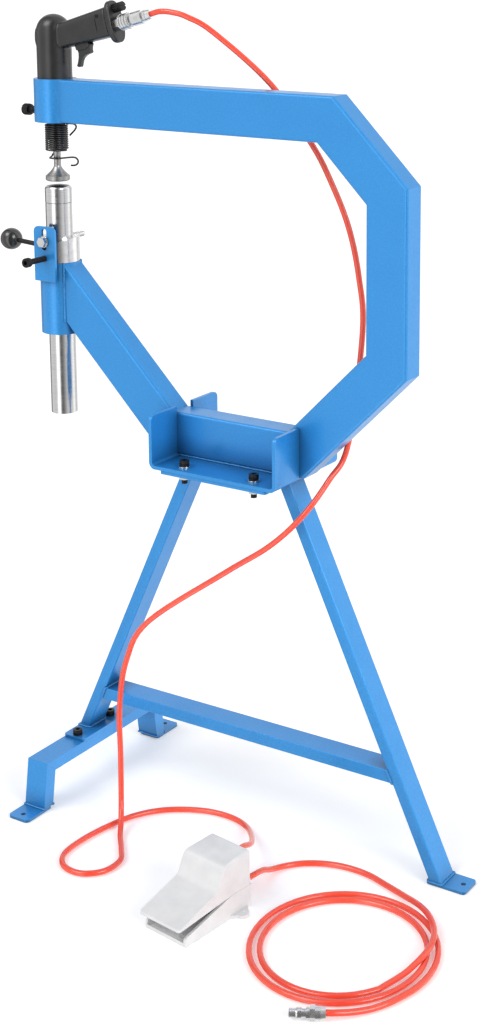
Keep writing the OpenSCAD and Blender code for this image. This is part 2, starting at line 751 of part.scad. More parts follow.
module coupler_body() {
    start = end_plate_t + hex_t + air;
    color("silver") place() handle_axes() translate([handle_l - 2, 0, inlet_w]) difference() {
        union() {
            translate([start, 0, 0]) rod_x(8.2, 40 - start);
            translate([end_plate_t + hex_t + 24.5, 0, 0]) rod_x(10, body_end - end_plate_t - hex_t - 22.5);
        }
        translate([start - 1, 0, 0]) rod_x(nose_r + fit, nose_end + 3.5 - start);
        translate([start, 0, 0]) rod_x(3.5, 60);
    }
}

module coupler_sleeve() {
    color("silver") place() handle_axes()
        translate([handle_l - 2 + end_plate_t + hex_t + 1, 0, inlet_w]) difference() {
            union() {
                rod_x(sleeve_r - 0.8, sleeve_l);
                for (x = [0, 4.6, 9.2, 13.8]) translate([x + 0.8, 0, 0]) rod_x(sleeve_r, 3);
            }
            translate([-1, 0, 0]) rod_x(8.2 + fit, sleeve_l + 2);
        }
}

module hose_nut() {
    color("silver") place() handle_axes() translate([handle_l + body_end, 0, inlet_w]) difference() {
        union() {
            rod_x(7.8, 6);
            rotate([0, 90, 0]) cylinder(r1 = 7.8, r2 = 6.6, h = nut_end - body_end);
        }
        translate([-1, 0, 0]) rod_x(2.6, 30);
    }
}

// Saddle: plate bent up at both ends, with slots that the base tube lies in
module saddle_bracket() {
    h = saddle_top - base_z + plate_t;
    color("royalblue") place() translate([saddle_mid, 0, base_z - plate_t]) difference() {
        intersection() {
            upright(saddle_w) difference() {
                union() {
                    translate([-saddle_l / 2, bend_r]) square([saddle_l, h - bend_r]);
                    translate([-saddle_l / 2 + bend_r, 0]) square([saddle_l - 2 * bend_r, h]);
                    for (x = [-1, 1]) translate([x * (saddle_l / 2 - bend_r), bend_r]) circle(r = bend_r);
                }
                translate([-saddle_l / 2 + plate_t, bend_r]) square([saddle_l - 2 * plate_t, h]);
                translate([-saddle_l / 2 + bend_r, plate_t]) square([saddle_l - 2 * bend_r, h]);
                for (x = [-1, 1]) translate([x * (saddle_l / 2 - bend_r), bend_r])
                    circle(r = bend_r - plate_t);
            }
            translate([-saddle_l, 0, h / 2 - 20]) rotate([90, 0, 90]) linear_extrude(height = 2 * saddle_l)
                rounded(saddle_w, h + 40, 8);
        }
        translate([-saddle_l, -tube_w / 2 - air, plate_t]) cube([2 * saddle_l, tube_w + 2 * air, h]);
        for (x = [-1, 1]) for (y = [-1, 1])
            translate([x * bolt_dx, y * bolt_dy, -1]) cylinder(r = m8_hole, h = plate_t + 2);
    }
}

module stand_top_plate() {
    color("royalblue") place() translate([saddle_mid, 0, stand_z]) difference() {
        linear_extrude(height = plate_t) rounded(2 * stand_half, stand_plate_w, 4);
        for (x = [-1, 1]) for (y = [-1, 1])
            translate([x * bolt_dx, y * bolt_dy, -1]) cylinder(r = m8_hole, h = plate_t + 2);
    }
}

module at_saddle_bolts() {
    for (x = [-1, 1]) for (y = [-1, 1])
        translate([saddle_mid + x * bolt_dx, y * bolt_dy, base_z]) children();
}

module cap_screw(l) {
    difference() {
        union() {
            cylinder(r = m8_head_r, h = m8_head_h);
            translate([0, 0, -l]) cylinder(r = m8_r, h = l + 1);
        }
        translate([0, 0, m8_head_h - 4]) hexagon(6, 5);
    }
}

module saddle_bolts() {
    color("dimgray") place() at_saddle_bolts() translate([0, 0, m8_washer_t])
        cap_screw(2 * plate_t + m8_nut_h + 8);
}

module saddle_washers() {
    color("silver") place() at_saddle_bolts() difference() {
        cylinder(r = m8_washer_r, h = m8_washer_t);
        translate([0, 0, -1]) cylinder(r = m8_r + 0.1, h = 4);
    }
}

module saddle_nuts() {
    color("silver") place() at_saddle_bolts() translate([0, 0, -2 * plate_t - m8_nut_h]) difference() {
        hexagon(13, m8_nut_h);
        translate([0, 0, -1]) cylinder(r = m8_r + fit, h = m8_nut_h + 2);
    }
}

// Splayed leg, cut level under the top plate and level again at its foot
module leg(side, foot) {
    top = [side * stand_half, stand_z];
    low = [side * (stand_half + leg_slope * (stand_z - foot)), foot];
    color("royalblue") place() translate([saddle_mid, 0, 0]) intersection() {
        tube_run(side > 0 ? low : top, side > 0 ? top : low, leg_t, leg_w, leg_wall, 2.5);
        translate([-600, -leg_w, foot]) cube([1200, 2 * leg_w, stand_z - foot]);
    }
}

module left_leg() {
    leg(-1, leg_foot_z);
}

module right_leg() {
    leg(1, pad_t);
}

module crossbar() {
    reach = stand_half - leg_span;
    high = reach + leg_slope * (stand_z - crossbar_z);
    low = high + leg_slope * leg_t;
    color("royalblue") place() translate([saddle_mid, 0, 0]) difference() {
        upright(leg_w) polygon([[-high, crossbar_z], [high, crossbar_z], [low, crossbar_z - leg_t],
            [-low, crossbar_z - leg_t]]);
        translate([-300, -leg_w / 2 + leg_wall, crossbar_z - leg_t + leg_wall])
            cube([600, leg_w - 2 * leg_wall, leg_t - 2 * leg_wall]);
    }
}

// Outline in the plane across the machine, extruded along X about the foot beam
module across_beam(w) {
    translate([beam_x - w / 2, 0, 0]) rotate([90, 0, 90]) linear_extrude(height = w) children();
}

module foot_beam() {
    inner = foot_l / 2 - leg_t + 1;
    color("royalblue") place() difference() {
        across_beam(leg_w) polygon([[-foot_l / 2, foot_z], [foot_l / 2, foot_z], [inner, beam_z],
            [-inner, beam_z]]);
        translate([beam_x - leg_w / 2 + leg_wall, -foot_l, beam_z + leg_wall])
            cube([leg_w - 2 * leg_wall, 2 * foot_l, foot_z - beam_z - 2 * leg_wall]);
        for (y = [-1, 1]) translate([beam_x, leg_plate_mid + y * foot_bolt_dy, beam_z - 1])
            cylinder(r = m8_hole, h = leg_t + 4);
    }
}

// Foot of the beam with its floor tab, on the side given by -1 or +1
module beam_foot(side) {
    inner = foot_l / 2 - leg_t + 1;
    out = foot_splay * (foot_z - pad_t);
    in = foot_splay * (beam_z - pad_t);
    color("royalblue") place() difference() {
        union() {
            difference() {
                across_beam(leg_w) polygon([[side * foot_l / 2, foot_z], [side * inner, beam_z],
                    [side * (inner + in), pad_t], [side * (foot_l / 2 + out), pad_t]]);
                across_beam(leg_w - 2 * leg_wall) polygon([
                    [side * (inner + leg_wall), beam_z + leg_wall],
                    [side * (inner + in + leg_wall), pad_t],
                    [side * (foot_l / 2 + out - leg_wall), pad_t],
                    [side * (foot_l / 2 + 0.6 - leg_wall), foot_z - leg_wall]]);
            }
            translate([beam_x, side * (foot_l / 2 + out + tab_l / 2 - leg_t / 2), 0])
                linear_extrude(height = pad_t) rounded(leg_w, tab_l + leg_t, 6);
        }
        translate([beam_x, side * (foot_l / 2 + out + tab_l - 12), -1]) cylinder(r = anchor_r, h = pad_t + 2);
    }
}

module front_foot() {
    beam_foot(-1);
}

module rear_foot() {
    beam_foot(1);
}

module leg_base_plate() {
    color("royalblue") place() translate([beam_x, leg_plate_mid, foot_z]) difference() {
        linear_extrude(height = leg_plate_t) rounded(leg_w + 2, leg_plate_l, 4);
        for (y = [-1, 1]) translate([0, y * foot_bolt_dy, -1]) cylinder(r = m8_hole, h = leg_plate_t + 2);
    }
}

module foot_bolts() {
    color("dimgray") place() for (y = [-1, 1])
        translate([beam_x, leg_plate_mid + y * foot_bolt_dy, leg_foot_z]) cap_screw(leg_foot_z - 46);
}

module right_foot_plate() {
    color("royalblue") place() translate([high_x - foot_pad_l / 2, 0, 0]) difference() {
        linear_extrude(height = pad_t) rounded(foot_pad_l, leg_w, 5);
        translate([foot_pad_l / 2 - 11, 0, -1]) cylinder(r = anchor_r, h = pad_t + 2);
    }
}

// Outline seen from the side of the pedal, as [y, z], made w wide
module pedal_side(w) {
    rotate([90, 0, 90]) linear_extrude(height = w, center = true) children();
}

// Pedal base: open tray, side walls that rise to the hinge, hinge ears and slotted lugs
module pedal_base() {
    half = pedal_w / 2;
    color("whitesmoke") place() pedal_axes() difference() {
        union() {
            difference() {
                pedal_side(pedal_w) polygon([[0, 0], [0, wall_front - 4.5], [1.2, wall_front - 1.7], [4, wall_front],
                    [pivot_y, seam_z - air], [pedal_l, seam_z - air], [pedal_l, 0]]);
                pedal_side(2 * pedal_in) polygon([[tray_t, tray_t], [-1, 2 * tray_t], [-1, hood_z],
                    [port_y, hood_z], [port_y, tray_t]]);
            }
            for (x = [-1, 1]) {
                translate([x * (ear_in + pedal_in - air) / 2, 0, 0]) pedal_side(pedal_in - air - ear_in)
                    union() {
                        translate([pivot_y - 6, tray_t - 1]) square([12, pivot_z - tray_t + 1]);
                        translate([pivot_y, pivot_z]) circle(r = 6);
                    }
                translate([x * pedal_in - 1, pivot_y - 6, tray_t - 1]) cube([2, 12, seam_z - tray_t - 4]);
                linear_extrude(height = 4) difference() {
                    union() {
                        polygon([[x * (half - 1), lug_y - 18], [x * (half + 8), lug_y - 7],
                            [x * (half + 10), lug_y + 7], [x * (half - 1), lug_y + 17]]);
                        translate([x * (half + 6), lug_y]) circle(r = 9);
                    }
                    translate([x * (half + 6.5), lug_y + 4]) circle(r = 2.6);
                    translate([x * (half + 14), lug_y + 7]) rotate(x * 22)
                        square([15, 5.2], center = true);
                }
            }
        }
        for (x = [-1, 1]) {
            translate([x * 18, 12, -1]) cylinder(r = 2.4, h = 8);
            translate([x * pedal_w / 2, pivot_y, pivot_z]) rod_x_centred(pin_stub_r + fit, 20);
        }
        translate([port_b[0], pedal_l - 5, port_b[1]]) rod_y(port_r + air, 10);
    }
}

module rod_x_centred(r, l) {
    translate([-l / 2, 0, 0]) rod_x(r, l);
}

// Treadle: one shell with the sloping tread, the riser and the hood over the valve
module pedal_treadle() {
    rise = [[0, 45.6], [5, 48.2], [8.5, 53], [14, 65.4], [17.4, 72], [20.6, 75.2], [25, 76.6]];
    rise_in = [[1, 42.5], [7.4, 46], [11.3, 52], [16.8, 64.2], [19.8, 70], [22.6, 72.4], [26, 73.5]];
    outer = concat([[tread_front, 24.4], [tread_front, 26.2], [tread_front + 1.1, 27.6], [23.5, 37.6]],
        [for (p = rise) p + [riser_y, 0]],
        [[pedal_l - 4, hood_z], [pedal_l - 1, hood_z - 1.1], [pedal_l, hood_z - 3.9], [pedal_l, seam_z],
            [pivot_y, seam_z]]);
    under = concat([[tread_front + 3.1, 10], [tread_front + 3.1, 24.9], [24.4, 34.5]],
        [for (p = rise_in) p + [riser_y, 0]],
        [[pedal_l + 10, hood_z - 2.6], [pedal_l + 10, 10]]);
    color("whitesmoke") place() pedal_axes() difference() {
        union() {
            difference() {
                intersection() {
                    pedal_side(pedal_w) polygon(outer);
                    rotate([90, 0, 0]) translate([0, hood_z / 2 - 20, -pedal_l - 10])
                        linear_extrude(height = pedal_l + 40) rounded(pedal_w, hood_z + 40, 7);
                    translate([0, pedal_l / 2 + tread_front / 2, 0]) linear_extrude(height = hood_z + 1)
                        rounded(pedal_w, pedal_l - tread_front, tread_corner);
                }
                pedal_side(2 * pedal_in) polygon(under);
            }
            translate([0, spool_y, spool_top + air + 4]) union() {
                sphere(r = 4);
                cylinder(r = 4, h = 5);
            }
        }
        for (x = [-1, 1])
            translate([x * pedal_w / 2, pivot_y, pivot_z]) rod_x_centred(pin_stub_r + fit, 20);
    }
}

module treadle_pins() {
    color("dimgray") place() pedal_axes() for (x = [-1, 1])
        translate([x * (ear_in + pedal_w / 2) / 2, pivot_y, pivot_z])
            rod_x_centred(pin_stub_r, pedal_w / 2 - ear_in - 0.2);
}

// Valve block bolted in the tray, with the spool's bore and the two hose ports
module valve_body() {
    color("silver") place() pedal_axes() difference() {
        pedal_side(block_w) polygon([[spool_y - 7, tray_t], [spool_y - 7, 50], [spool_y + 11, 50],
            [spool_y + 11, 62], [port_y - air, 62], [port_y - air, tray_t]]);
        translate([0, spool_y, 20]) cylinder(r = spool_r + fit, h = 40);
    }
}

module valve_spool() {
    color("silver") place() pedal_axes() translate([0, spool_y, spool_z])
        cylinder(r = spool_r, h = spool_top - spool_z);
}

module pedal_spring() {
    color("gray") place() pedal_axes() translate([0, spool_y, 20.2]) difference() {
        cylinder(r = 5.2, h = spool_z - 20.4);
        translate([0, 0, -1]) cylinder(r = 3.6, h = 12);
    }
}

module port_fittings() {
    color("whitesmoke") place() pedal_axes() for (p = [port_a, port_b])
        translate([p[0], port_y - air, p[1]]) union() {
            rod_y(port_r - 1, port_l + air);
            rod_y(port_r, 12);
        }
}

module tool_hose() {
    p = smooth(concat([hose_face], tool_route, [face_a]), 2);
    color("orangered") place() tube(p, hose_d / 2, 8, handle_dir, -pedal_dir);
}

module supply_hose() {
    p = smooth(concat([face_b], supply_route, [coil_in]), 2);
    color("orangered") place() tube(p, hose_d / 2, 8, pedal_dir, coil_dir(0));
}

// Flat coil on the floor, wound outwards as one tube
module hose_coil() {
    turns = [for (i = [0:coil_turns * coil_rings]) coil_point(i / coil_rings)];
    p = concat([coil_in], turns, [coil_out]);
    echo(coil_gap = self_gap(p, hose_d / 2, coil_rings / 2));
    color("orangered") place() tube(p, hose_d / 2, 6, coil_dir(0), coil_dir(coil_turns));
}

module supply_tail() {
    p = smooth(concat([coil_out], tail_route, [plug_at - 10 * plug_dir, plug_at]), 2);
    color("orangered") place() tube(p, hose_d / 2, 8, coil_dir(coil_turns), plug_dir);
}

// Plug on the supply end: hose nut, hexagon and grooved coupling nose
module supply_plug() {
    nose = [[0, 0], [6.6, 0], [7.4, 6], [7.4, 13], [6.6, 17], [6.6, 23], [4.8, 23], [4.8, 28],
        [6.1, 28], [6.1, 33], [5.2, 35], [5.2, 43], [3, 43], [3, 14], [0, 14]];
    color("silver") place() translate(plug_at) rotate([0, 90, atan2(plug_dir[1], plug_dir[0])]) union() {
        rotate_extrude() polygon(nose);
        translate([0, 0, 12.5]) rotate(30) difference() {
            hexagon(16, 6);
            translate([0, 0, -1]) cylinder(r = 5, h = 8);
        }
    }
}

hammer_holder();
upper_arm();
upper_diagonal();
column();
lower_diagonal();
base_segment();
lower_arm();
anvil_holder();
slot_plate();
barrel_clamp_screw();
saddle_bracket();
stand_top_plate();
left_leg();
right_leg();
crossbar();
foot_beam();
front_foot();
rear_foot();
leg_base_plate();
right_foot_plate();
saddle_bolts();
saddle_washers();
saddle_nuts();
foot_bolts();
cross_bolt();
anvil();
anvil_post();
cam_collar();
lever_rod();
ball_knob();
lock_screw();
hammer_housing();
steel_barrel();
piston();
handle_end_plate();
regulator_knob();
trigger();
trigger_pin();
roll_pin();
valve_stem();
valve_spring();
inlet_nipple();
coupler_body();
coupler_sleeve();
hose_nut();
retainer_spring();
planishing_tool();
pedal_base();
pedal_treadle();
treadle_pins();
pedal_spring();
valve_body();
valve_spool();
port_fittings();
tool_hose();
supply_hose();
hose_coil();
supply_tail();
supply_plug();
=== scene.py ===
import json
import math

import bmesh
import bpy
from mathutils import Matrix, Vector


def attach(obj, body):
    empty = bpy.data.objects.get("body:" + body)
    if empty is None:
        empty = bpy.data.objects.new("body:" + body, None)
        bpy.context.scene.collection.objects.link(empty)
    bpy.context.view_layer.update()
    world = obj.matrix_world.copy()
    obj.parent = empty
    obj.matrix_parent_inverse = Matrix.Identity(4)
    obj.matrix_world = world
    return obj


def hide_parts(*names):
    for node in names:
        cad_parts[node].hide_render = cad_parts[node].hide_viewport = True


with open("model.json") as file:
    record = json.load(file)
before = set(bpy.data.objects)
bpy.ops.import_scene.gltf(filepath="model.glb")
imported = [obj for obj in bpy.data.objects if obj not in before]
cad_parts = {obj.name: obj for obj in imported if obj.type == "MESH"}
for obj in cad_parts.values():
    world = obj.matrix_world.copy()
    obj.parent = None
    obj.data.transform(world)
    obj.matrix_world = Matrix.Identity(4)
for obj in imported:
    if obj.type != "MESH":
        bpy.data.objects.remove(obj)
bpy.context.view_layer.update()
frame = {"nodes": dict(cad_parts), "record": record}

# Camera at the front right corner of the machine, a little above the throat, with the
# long lens that the photograph's straight edges give. Places are in millimetres from the
# tool's axis, and at() turns them into the frame's metres.
TOOL_AXIS = (284.09, -66.2553)


def at(x, y, z):
    """Place in the frame, in metres, of a place in millimetres from the tool's axis."""
    return Vector(((x - TOOL_AXIS[0]) / 1000, (y - TOOL_AXIS[1]) / 1000, z / 1000))


turned, tilt = math.radians(30.45), math.radians(0.29)
back = Vector((0.49864, -0.84821, 0.17863))
right = Vector((math.cos(turned), math.sin(turned), 0))
up = right.cross(-back)
side = right * math.cos(tilt) + up * math.sin(tilt)
top = up * math.cos(tilt) - right * math.sin(tilt)
camera = bpy.data.objects.new("camera", bpy.data.cameras.new("camera"))
bpy.context.scene.collection.objects.link(camera)
camera.matrix_world = (Matrix.Translation((1.30953, -1.736785, 1.23407))
                       @ Matrix((side, top, back)).transposed().to_4x4())
SENSOR, LENS, SHIFT, FARTHEST = 36, 58.86, (-0.1383, -0.2643), 300
camera.data.sensor_width = SENSOR
camera.data.lens = LENS
camera.data.shift_x, camera.data.shift_y = SHIFT
camera.data.clip_end = FARTHEST
bpy.context.scene.camera = camera
bpy.context.scene.view_settings.view_transform = "Standard"

# Studio: an even white room with a few grey strips for the metal to show, a soft key lamp
# from the front left, a weaker one from the right, and a plain pale floor.
world = bpy.data.worlds.new("studio")
bpy.context.scene.world = world
world.use_nodes = True
room = world.node_tree
look = room.nodes.new("ShaderNodeTexCoord").outputs["Generated"]
parts_of_look = room.nodes.new("ShaderNodeSeparateXYZ")
room.links.new(look, parts_of_look.inputs[0])
heading = room.nodes.new("ShaderNodeMath")
heading.operation = "ARCTAN2"
room.links.new(parts_of_look.outputs["Y"], heading.inputs[0])
room.links.new(parts_of_look.outputs["X"], heading.inputs[1])
strips = room.nodes.new("ShaderNodeMapRange")
strips.inputs["From Min"].default_value = -math.pi
strips.inputs["From Max"].default_value = math.pi
room.links.new(heading.outputs[0], strips.inputs["Value"])
wall = room.nodes.new("ShaderNodeValToRGB")
room.links.new(strips.outputs[0], wall.inputs["Fac"])
WALLS = [(0.0, 0.3), (0.03, 0.46), (0.14, 0.4), (0.19, 0.45), (0.225, 1.0), (0.262, 1.0), (0.295, 0.12),
         (0.335, 0.07), (0.375, 0.16), (0.45, 0.42), (0.58, 0.46), (0.61, 0.74), (0.66, 0.72), (0.69, 0.3),
         (0.74, 0.48), (0.92, 0.46), (0.955, 0.08), (1.0, 0.12)]
SOFT_BOX = 2.1
ROOM_GREY = (0.54, 0.54, 0.545, 1)
for i, (place, level) in enumerate(WALLS):
    stop = wall.color_ramp.elements[i] if i < 2 else wall.color_ramp.elements.new(place)
    stop.position = place
    stop.color = (level, level, level, 1)
lit = room.nodes.new("ShaderNodeVectorMath")
lit.operation = "SCALE"
lit.inputs["Scale"].default_value = SOFT_BOX
room.links.new(wall.outputs["Color"], lit.inputs[0])
ways = room.nodes.new("ShaderNodeLightPath")
plain_or_strips = room.nodes.new("ShaderNodeMix")
plain_or_strips.data_type = "RGBA"
plain_or_strips.inputs["A"].default_value = ROOM_GREY
room.links.new(ways.outputs["Is Glossy Ray"], plain_or_strips.inputs["Factor"])
room.links.new(lit.outputs[0], plain_or_strips.inputs["B"])
white_view = room.nodes.new("ShaderNodeMix")
white_view.data_type = "RGBA"
white_view.inputs["B"].default_value = (1, 1, 1, 1)
room.links.new(ways.outputs["Is Camera Ray"], white_view.inputs["Factor"])
room.links.new(plain_or_strips.outputs["Result"], white_view.inputs["A"])
room.links.new(white_view.outputs["Result"], room.nodes["Background"].inputs["Color"])
LAMP_SPREAD = math.radians(32)
for name, power, aim in (("key_lamp", 1.1, (0.5, 1.0, -1.2)), ("side_lamp", 1.4, (-1.0, 0.3, -0.5))):
    lamp = bpy.data.objects.new(name, bpy.data.lights.new(name, "SUN"))
    lamp.data.energy = power
    lamp.data.angle = LAMP_SPREAD
    lamp.rotation_euler = Vector(aim).to_track_quat("-Z", "Y").to_euler()
    bpy.context.scene.collection.objects.link(lamp)


def shader(name, **inputs):
    """Material with the given sockets set on its shader."""
    made = bpy.data.materials.new(name)
    made.use_nodes = True
    skin = made.node_tree.nodes["Principled BSDF"]
    for key, value in inputs.items():
        skin.inputs[key.replace("_", " ")].default_value = value
    return made


def texture(made, kind, stretch=(1, 1, 1), **inputs):
    """Pattern on the piece's own coordinates, stretched along its axes."""
    tree = made.node_tree
    mapping = tree.nodes.new("ShaderNodeMapping")
    mapping.inputs["Scale"].default_value = stretch
    tree.links.new(tree.nodes.new("ShaderNodeTexCoord").outputs["Object"], mapping.inputs["Vector"])
    node = tree.nodes.new(kind)
    for key, value in inputs.items():
        node.inputs[key].default_value = value
    tree.links.new(mapping.outputs[0], node.inputs["Vector"])
    return node.outputs[0]


def tinted(made, pattern, low, dark, high, light):
    """Base colour that goes from dark to light as the pattern goes from low to high."""
    tree = made.node_tree
    ramp = tree.nodes.new("ShaderNodeValToRGB")
    for stop, place, colour in zip(ramp.color_ramp.elements, (low, high), (dark, light)):
        stop.position = place
        stop.color = (*colour, 1)
    tree.links.new(pattern, ramp.inputs["Fac"])
    tree.links.new(ramp.outputs["Color"], tree.nodes["Principled BSDF"].inputs["Base Color"])


floor_mesh = bpy.data.meshes.new("studio_floor")
FLOOR_REACH, FLOOR_DROP = 90.0, -0.0006
floor_mesh.from_pydata([(x * FLOOR_REACH, y * FLOOR_REACH, FLOOR_DROP)
                        for x, y in ((-1, -1), (1, -1), (1, 1), (-1, 1))], [], [(0, 1, 2, 3)])
studio_floor = bpy.data.objects.new("studio_floor", floor_mesh)
bpy.context.scene.collection.objects.link(studio_floor)
studio_floor.visible_glossy = False
floor_paper = shader("floor_paper", Roughness=0.9, Specular_IOR_Level=0.1, Emission_Strength=0.25,
                     Emission_Color=(1, 1, 1, 1))
tinted(floor_paper, texture(floor_paper, "ShaderNodeTexNoise", Scale=3.0), 0.3, (0.9, 0.9, 0.9), 0.7,
       (0.93, 0.93, 0.93))
floor_mesh.materials.append(floor_paper)

# Air hose from the tool to the pedal: 8 mm orange-red polyurethane tube. It leaves the hose
# nut, hangs down behind the column, passes under the saddle and down past the left leg,
# makes one loop on the floor and enters the pedal's upper port.
HOSE_D = 8.0
RISE = math.radians(14.5)
PEDAL_TURN = math.radians(-8)


def in_handle(u, w, y=0.0):
    """Place on the tilted handle: u along it, w across it upwards, y to the side."""
    return (30 + u * math.cos(RISE) - w * math.sin(RISE), y,
            1099.8 + u * math.sin(RISE) + w * math.cos(RISE))


def in_pedal(x, y, z):
    """Place on the turned pedal, from the front middle of its tray."""
    return (398 + x * math.cos(PEDAL_TURN) - y * math.sin(PEDAL_TURN),
            -293 + x * math.sin(PEDAL_TURN) + y * math.cos(PEDAL_TURN), z)


def smooth(points, steps):
    """The line through the points that the model's own hoses follow, in finer steps."""
    p = [Vector(q) for q in points]
    last = len(p) - 1
    line = []
    for i in range(last):
        a, b, c, d = p[max(i - 1, 0)], p[i], p[i + 1], p[min(i + 2, last)]
        for k in range(steps):
            t = k / steps
            line.append(0.5 * (2 * b + (c - a) * t + (2 * a - 5 * b + 4 * c - d) * t * t
                               + (3 * b - a - 3 * c + d) * t * t * t))
    return line + [p[last]]


def hose(name, line, replaced):
    """One free hose along a line, from its fixed end to its far end."""
    curve = bpy.data.curves.new(name, "CURVE")
    curve.dimensions = "3D"
    curve.bevel_depth = HOSE_D / 2000
    curve.bevel_resolution = 4
    curve.use_fill_caps = True
    spline = curve.splines.new("POLY")
    spline.points.add(len(line) - 1)
    spline.use_smooth = True
    places = [at(*p) for p in line]
    for point, place in zip(spline.points, places):
        point.co = (*place, 1)
    curve.materials.append(red_hose)
    piece = bpy.data.objects.new(name, curve)
    bpy.context.scene.collection.objects.link(piece)
    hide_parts(*replaced)
    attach(piece, "frame")


def worn(made, pattern, low, high):
    """Roughness that follows the pattern between two values."""
    tree = made.node_tree
    span = tree.nodes.new("ShaderNodeMapRange")
    span.inputs["From Min"].default_value = 0.3
    span.inputs["From Max"].default_value = 0.7
    span.inputs["To Min"].default_value = low
    span.inputs["To Max"].default_value = high
    tree.links.new(pattern, span.inputs["Value"])
    tree.links.new(span.outputs[0], tree.nodes["Principled BSDF"].inputs["Roughness"])


red_hose = shader("orange_red_polyurethane", Roughness=0.24, IOR=1.5, Coat_Weight=0.35,
                  Coat_Roughness=0.08, Subsurface_Weight=0.25, Subsurface_Scale=0.003)
tinted(red_hose, texture(red_hose, "ShaderNodeTexNoise", Scale=11.0, Detail=2.0), 0.3,
       (0.83, 0.07, 0.034), 0.7, (0.9, 0.092, 0.045))
worn(red_hose, texture(red_hose, "ShaderNodeTexNoise", Scale=60.0), 0.17, 0.25)
TOOL_ROUTE = [
    in_handle(147, -5.5),
    (188, 0, 1134.7), (207, 2, 1134), (228, 8, 1128), (262, 20, 1108), (338, 43, 1041),
    (401, 45, 965), (432, 43, 918), (460, 42, 860), (476, 42, 795), (482, 42, 720), (470, 26, 570),
    (459, -5, 526), (441, -42, 484), (398, -56, 439), (331, -66, 391), (214, -84, 303),
    (178, -89, 240), (166, -92, 168), (170, -97, 100), (174, -102.5, 56.2), (177.6, -107.4, 31.8),
    (187.6, -120.9, 13.1), (201.6, -140, 4.5), (222, -163, 4.2), (240.6, -188.3, 4.2),
    (239.3, -218.9, 4.2), (216.7, -239.6, 4.2), (186.1, -238.3, 4.2), (165.4, -215.7, 4.2),
    (162, -178, 4.2), (168, -134, 4.2), (183, -86, 4.2), (214, -48, 4.2), (262, -23, 4.2),
    (306, -19, 4.2), (343, -34, 6), (390, -92, 28), (403, -132, 45),
    in_pedal(-12, 135.5, 48)]
hose("air_hose_to_pedal", smooth(TOOL_ROUTE, 7), ["tool_hose"])

# Supply hose: the same tube from the pedal's lower port across the floor, over its own
# turns into a flat coil of two turns, and out to the plug for the workshop's air line.
SUPPLY_ROUTE = [
    in_pedal(14, 135.5, 22), (433, -147, 22), (432, -126, 17), (432, -106, 8), (440, -84, 4.2),
    (458, -66, 4.2), (484, -52, 4.2), (514, -45, 4.2), (547, -46, 4.2), (580, -55, 4.2),
    (612, -66, 5.5), (642, -80, 9.5), (668, -99, 12.8), (688, -122, 12.8), (699, -146, 12.8),
    (703, -170, 12.8), (701, -194, 10), (696, -216, 6.5)]
TAIL_ROUTE = [(707, -268, 4.2), (695, -288, 4.2), (681, -305, 5.5)]
COIL_TURNS, COIL_STEPS = 1.96, 56
PLUG_AT, PLUG_DIR = Vector((657, -326, 8.3)), Vector((-0.862, -0.507, 0))


def coil_point(turn):
    angle = math.radians(-35 - 360 * turn)
    return Vector((601, -203, 4.2)) + (96 + 13.5 * turn) * Vector((math.cos(angle), math.sin(angle), 0))


def coil_way(turn):
    angle = math.radians(-35 - 360 * turn)
    return Vector((math.sin(angle), -math.cos(angle), 0))


coil_in = coil_point(0) - HOSE_D * coil_way(0)
coil_out = coil_point(COIL_TURNS) + HOSE_D * coil_way(COIL_TURNS)
coil = [coil_point(i / COIL_STEPS) for i in range(int(COIL_TURNS * COIL_STEPS) + 1)]
lead = smooth(SUPPLY_ROUTE + [coil_in], 7)
tail = smooth([coil_out, *TAIL_ROUTE, PLUG_AT - 10 * PLUG_DIR, PLUG_AT], 7)
hose("supply_hose_and_coil", lead + coil + tail, ["supply_hose", "hose_coil", "supply_tail"])

# C-frame: six lengths of 61 x 37 mm square-cornered tube, mitred, welded and ground flush,
# in light blue enamel with the fine pebbled skin that a spray gun leaves.
def finish(made, *nodes):
    """Gives a material to nodes of the model that are shown as they are."""
    for name in nodes:
        node = frame["nodes"][name]
        if not node.material_slots:
            node.data.materials.append(made)
        for slot in node.material_slots:
            slot.material = made


def relief(made, pattern, height, strength=1.0):
    """Fine bumps of a height in metres that follow the pattern."""
    tree = made.node_tree
    bump = tree.nodes.new("ShaderNodeBump")
    bump.inputs["Strength"].default_value = strength
    bump.inputs["Distance"].default_value = height
    tree.links.new(pattern, bump.inputs["Height"])
    tree.links.new(bump.outputs[0], tree.nodes["Principled BSDF"].inputs["Normal"])


def shaded(made, reach):
    """Base colour darkened in corners and under other parts, where little light reaches."""
    tree = made.node_tree
    corners = tree.nodes.new("ShaderNodeAmbientOcclusion")
    corners.inputs["Distance"].default_value = reach
    colour = tree.nodes["Principled BSDF"].inputs["Base Color"]
    tree.links.new(colour.links[0].from_socket, corners.inputs["Color"])
    tree.links.new(corners.outputs["Color"], colour)


blue_enamel = shader("light_blue_enamel", Roughness=0.32, Metallic=0.3, Coat_Weight=0.2,
                     Coat_Roughness=0.14)
tinted(blue_enamel, texture(blue_enamel, "ShaderNodeTexNoise", Scale=420.0, Detail=5.0), 0.3,
       (0.022, 0.25, 0.63), 0.72, (0.034, 0.3, 0.72))
shaded(blue_enamel, 0.035)
worn(blue_enamel, texture(blue_enamel, "ShaderNodeTexNoise", Scale=30.0, Detail=4.0), 0.28, 0.4)
relief(blue_enamel, texture(blue_enamel, "ShaderNodeTexNoise", Scale=650.0, Detail=2.0), 0.00016, 0.35)
finish(blue_enamel, "upper_arm", "upper_diagonal", "column", "lower_diagonal", "base_segment",
       "lower_arm", "hammer_holder", "anvil_holder", "left_leg", "right_leg")

# Plates of the saddle, stand and feet: sawn or punched steel with its edges broken by hand,
# so each is a copy of the model's plate with rounded edges.
body_of = {node: body for body, nodes in frame["record"]["behaviour"]["bodies"].items()
           for node in nodes}
SHARP_FROM = math.radians(32)


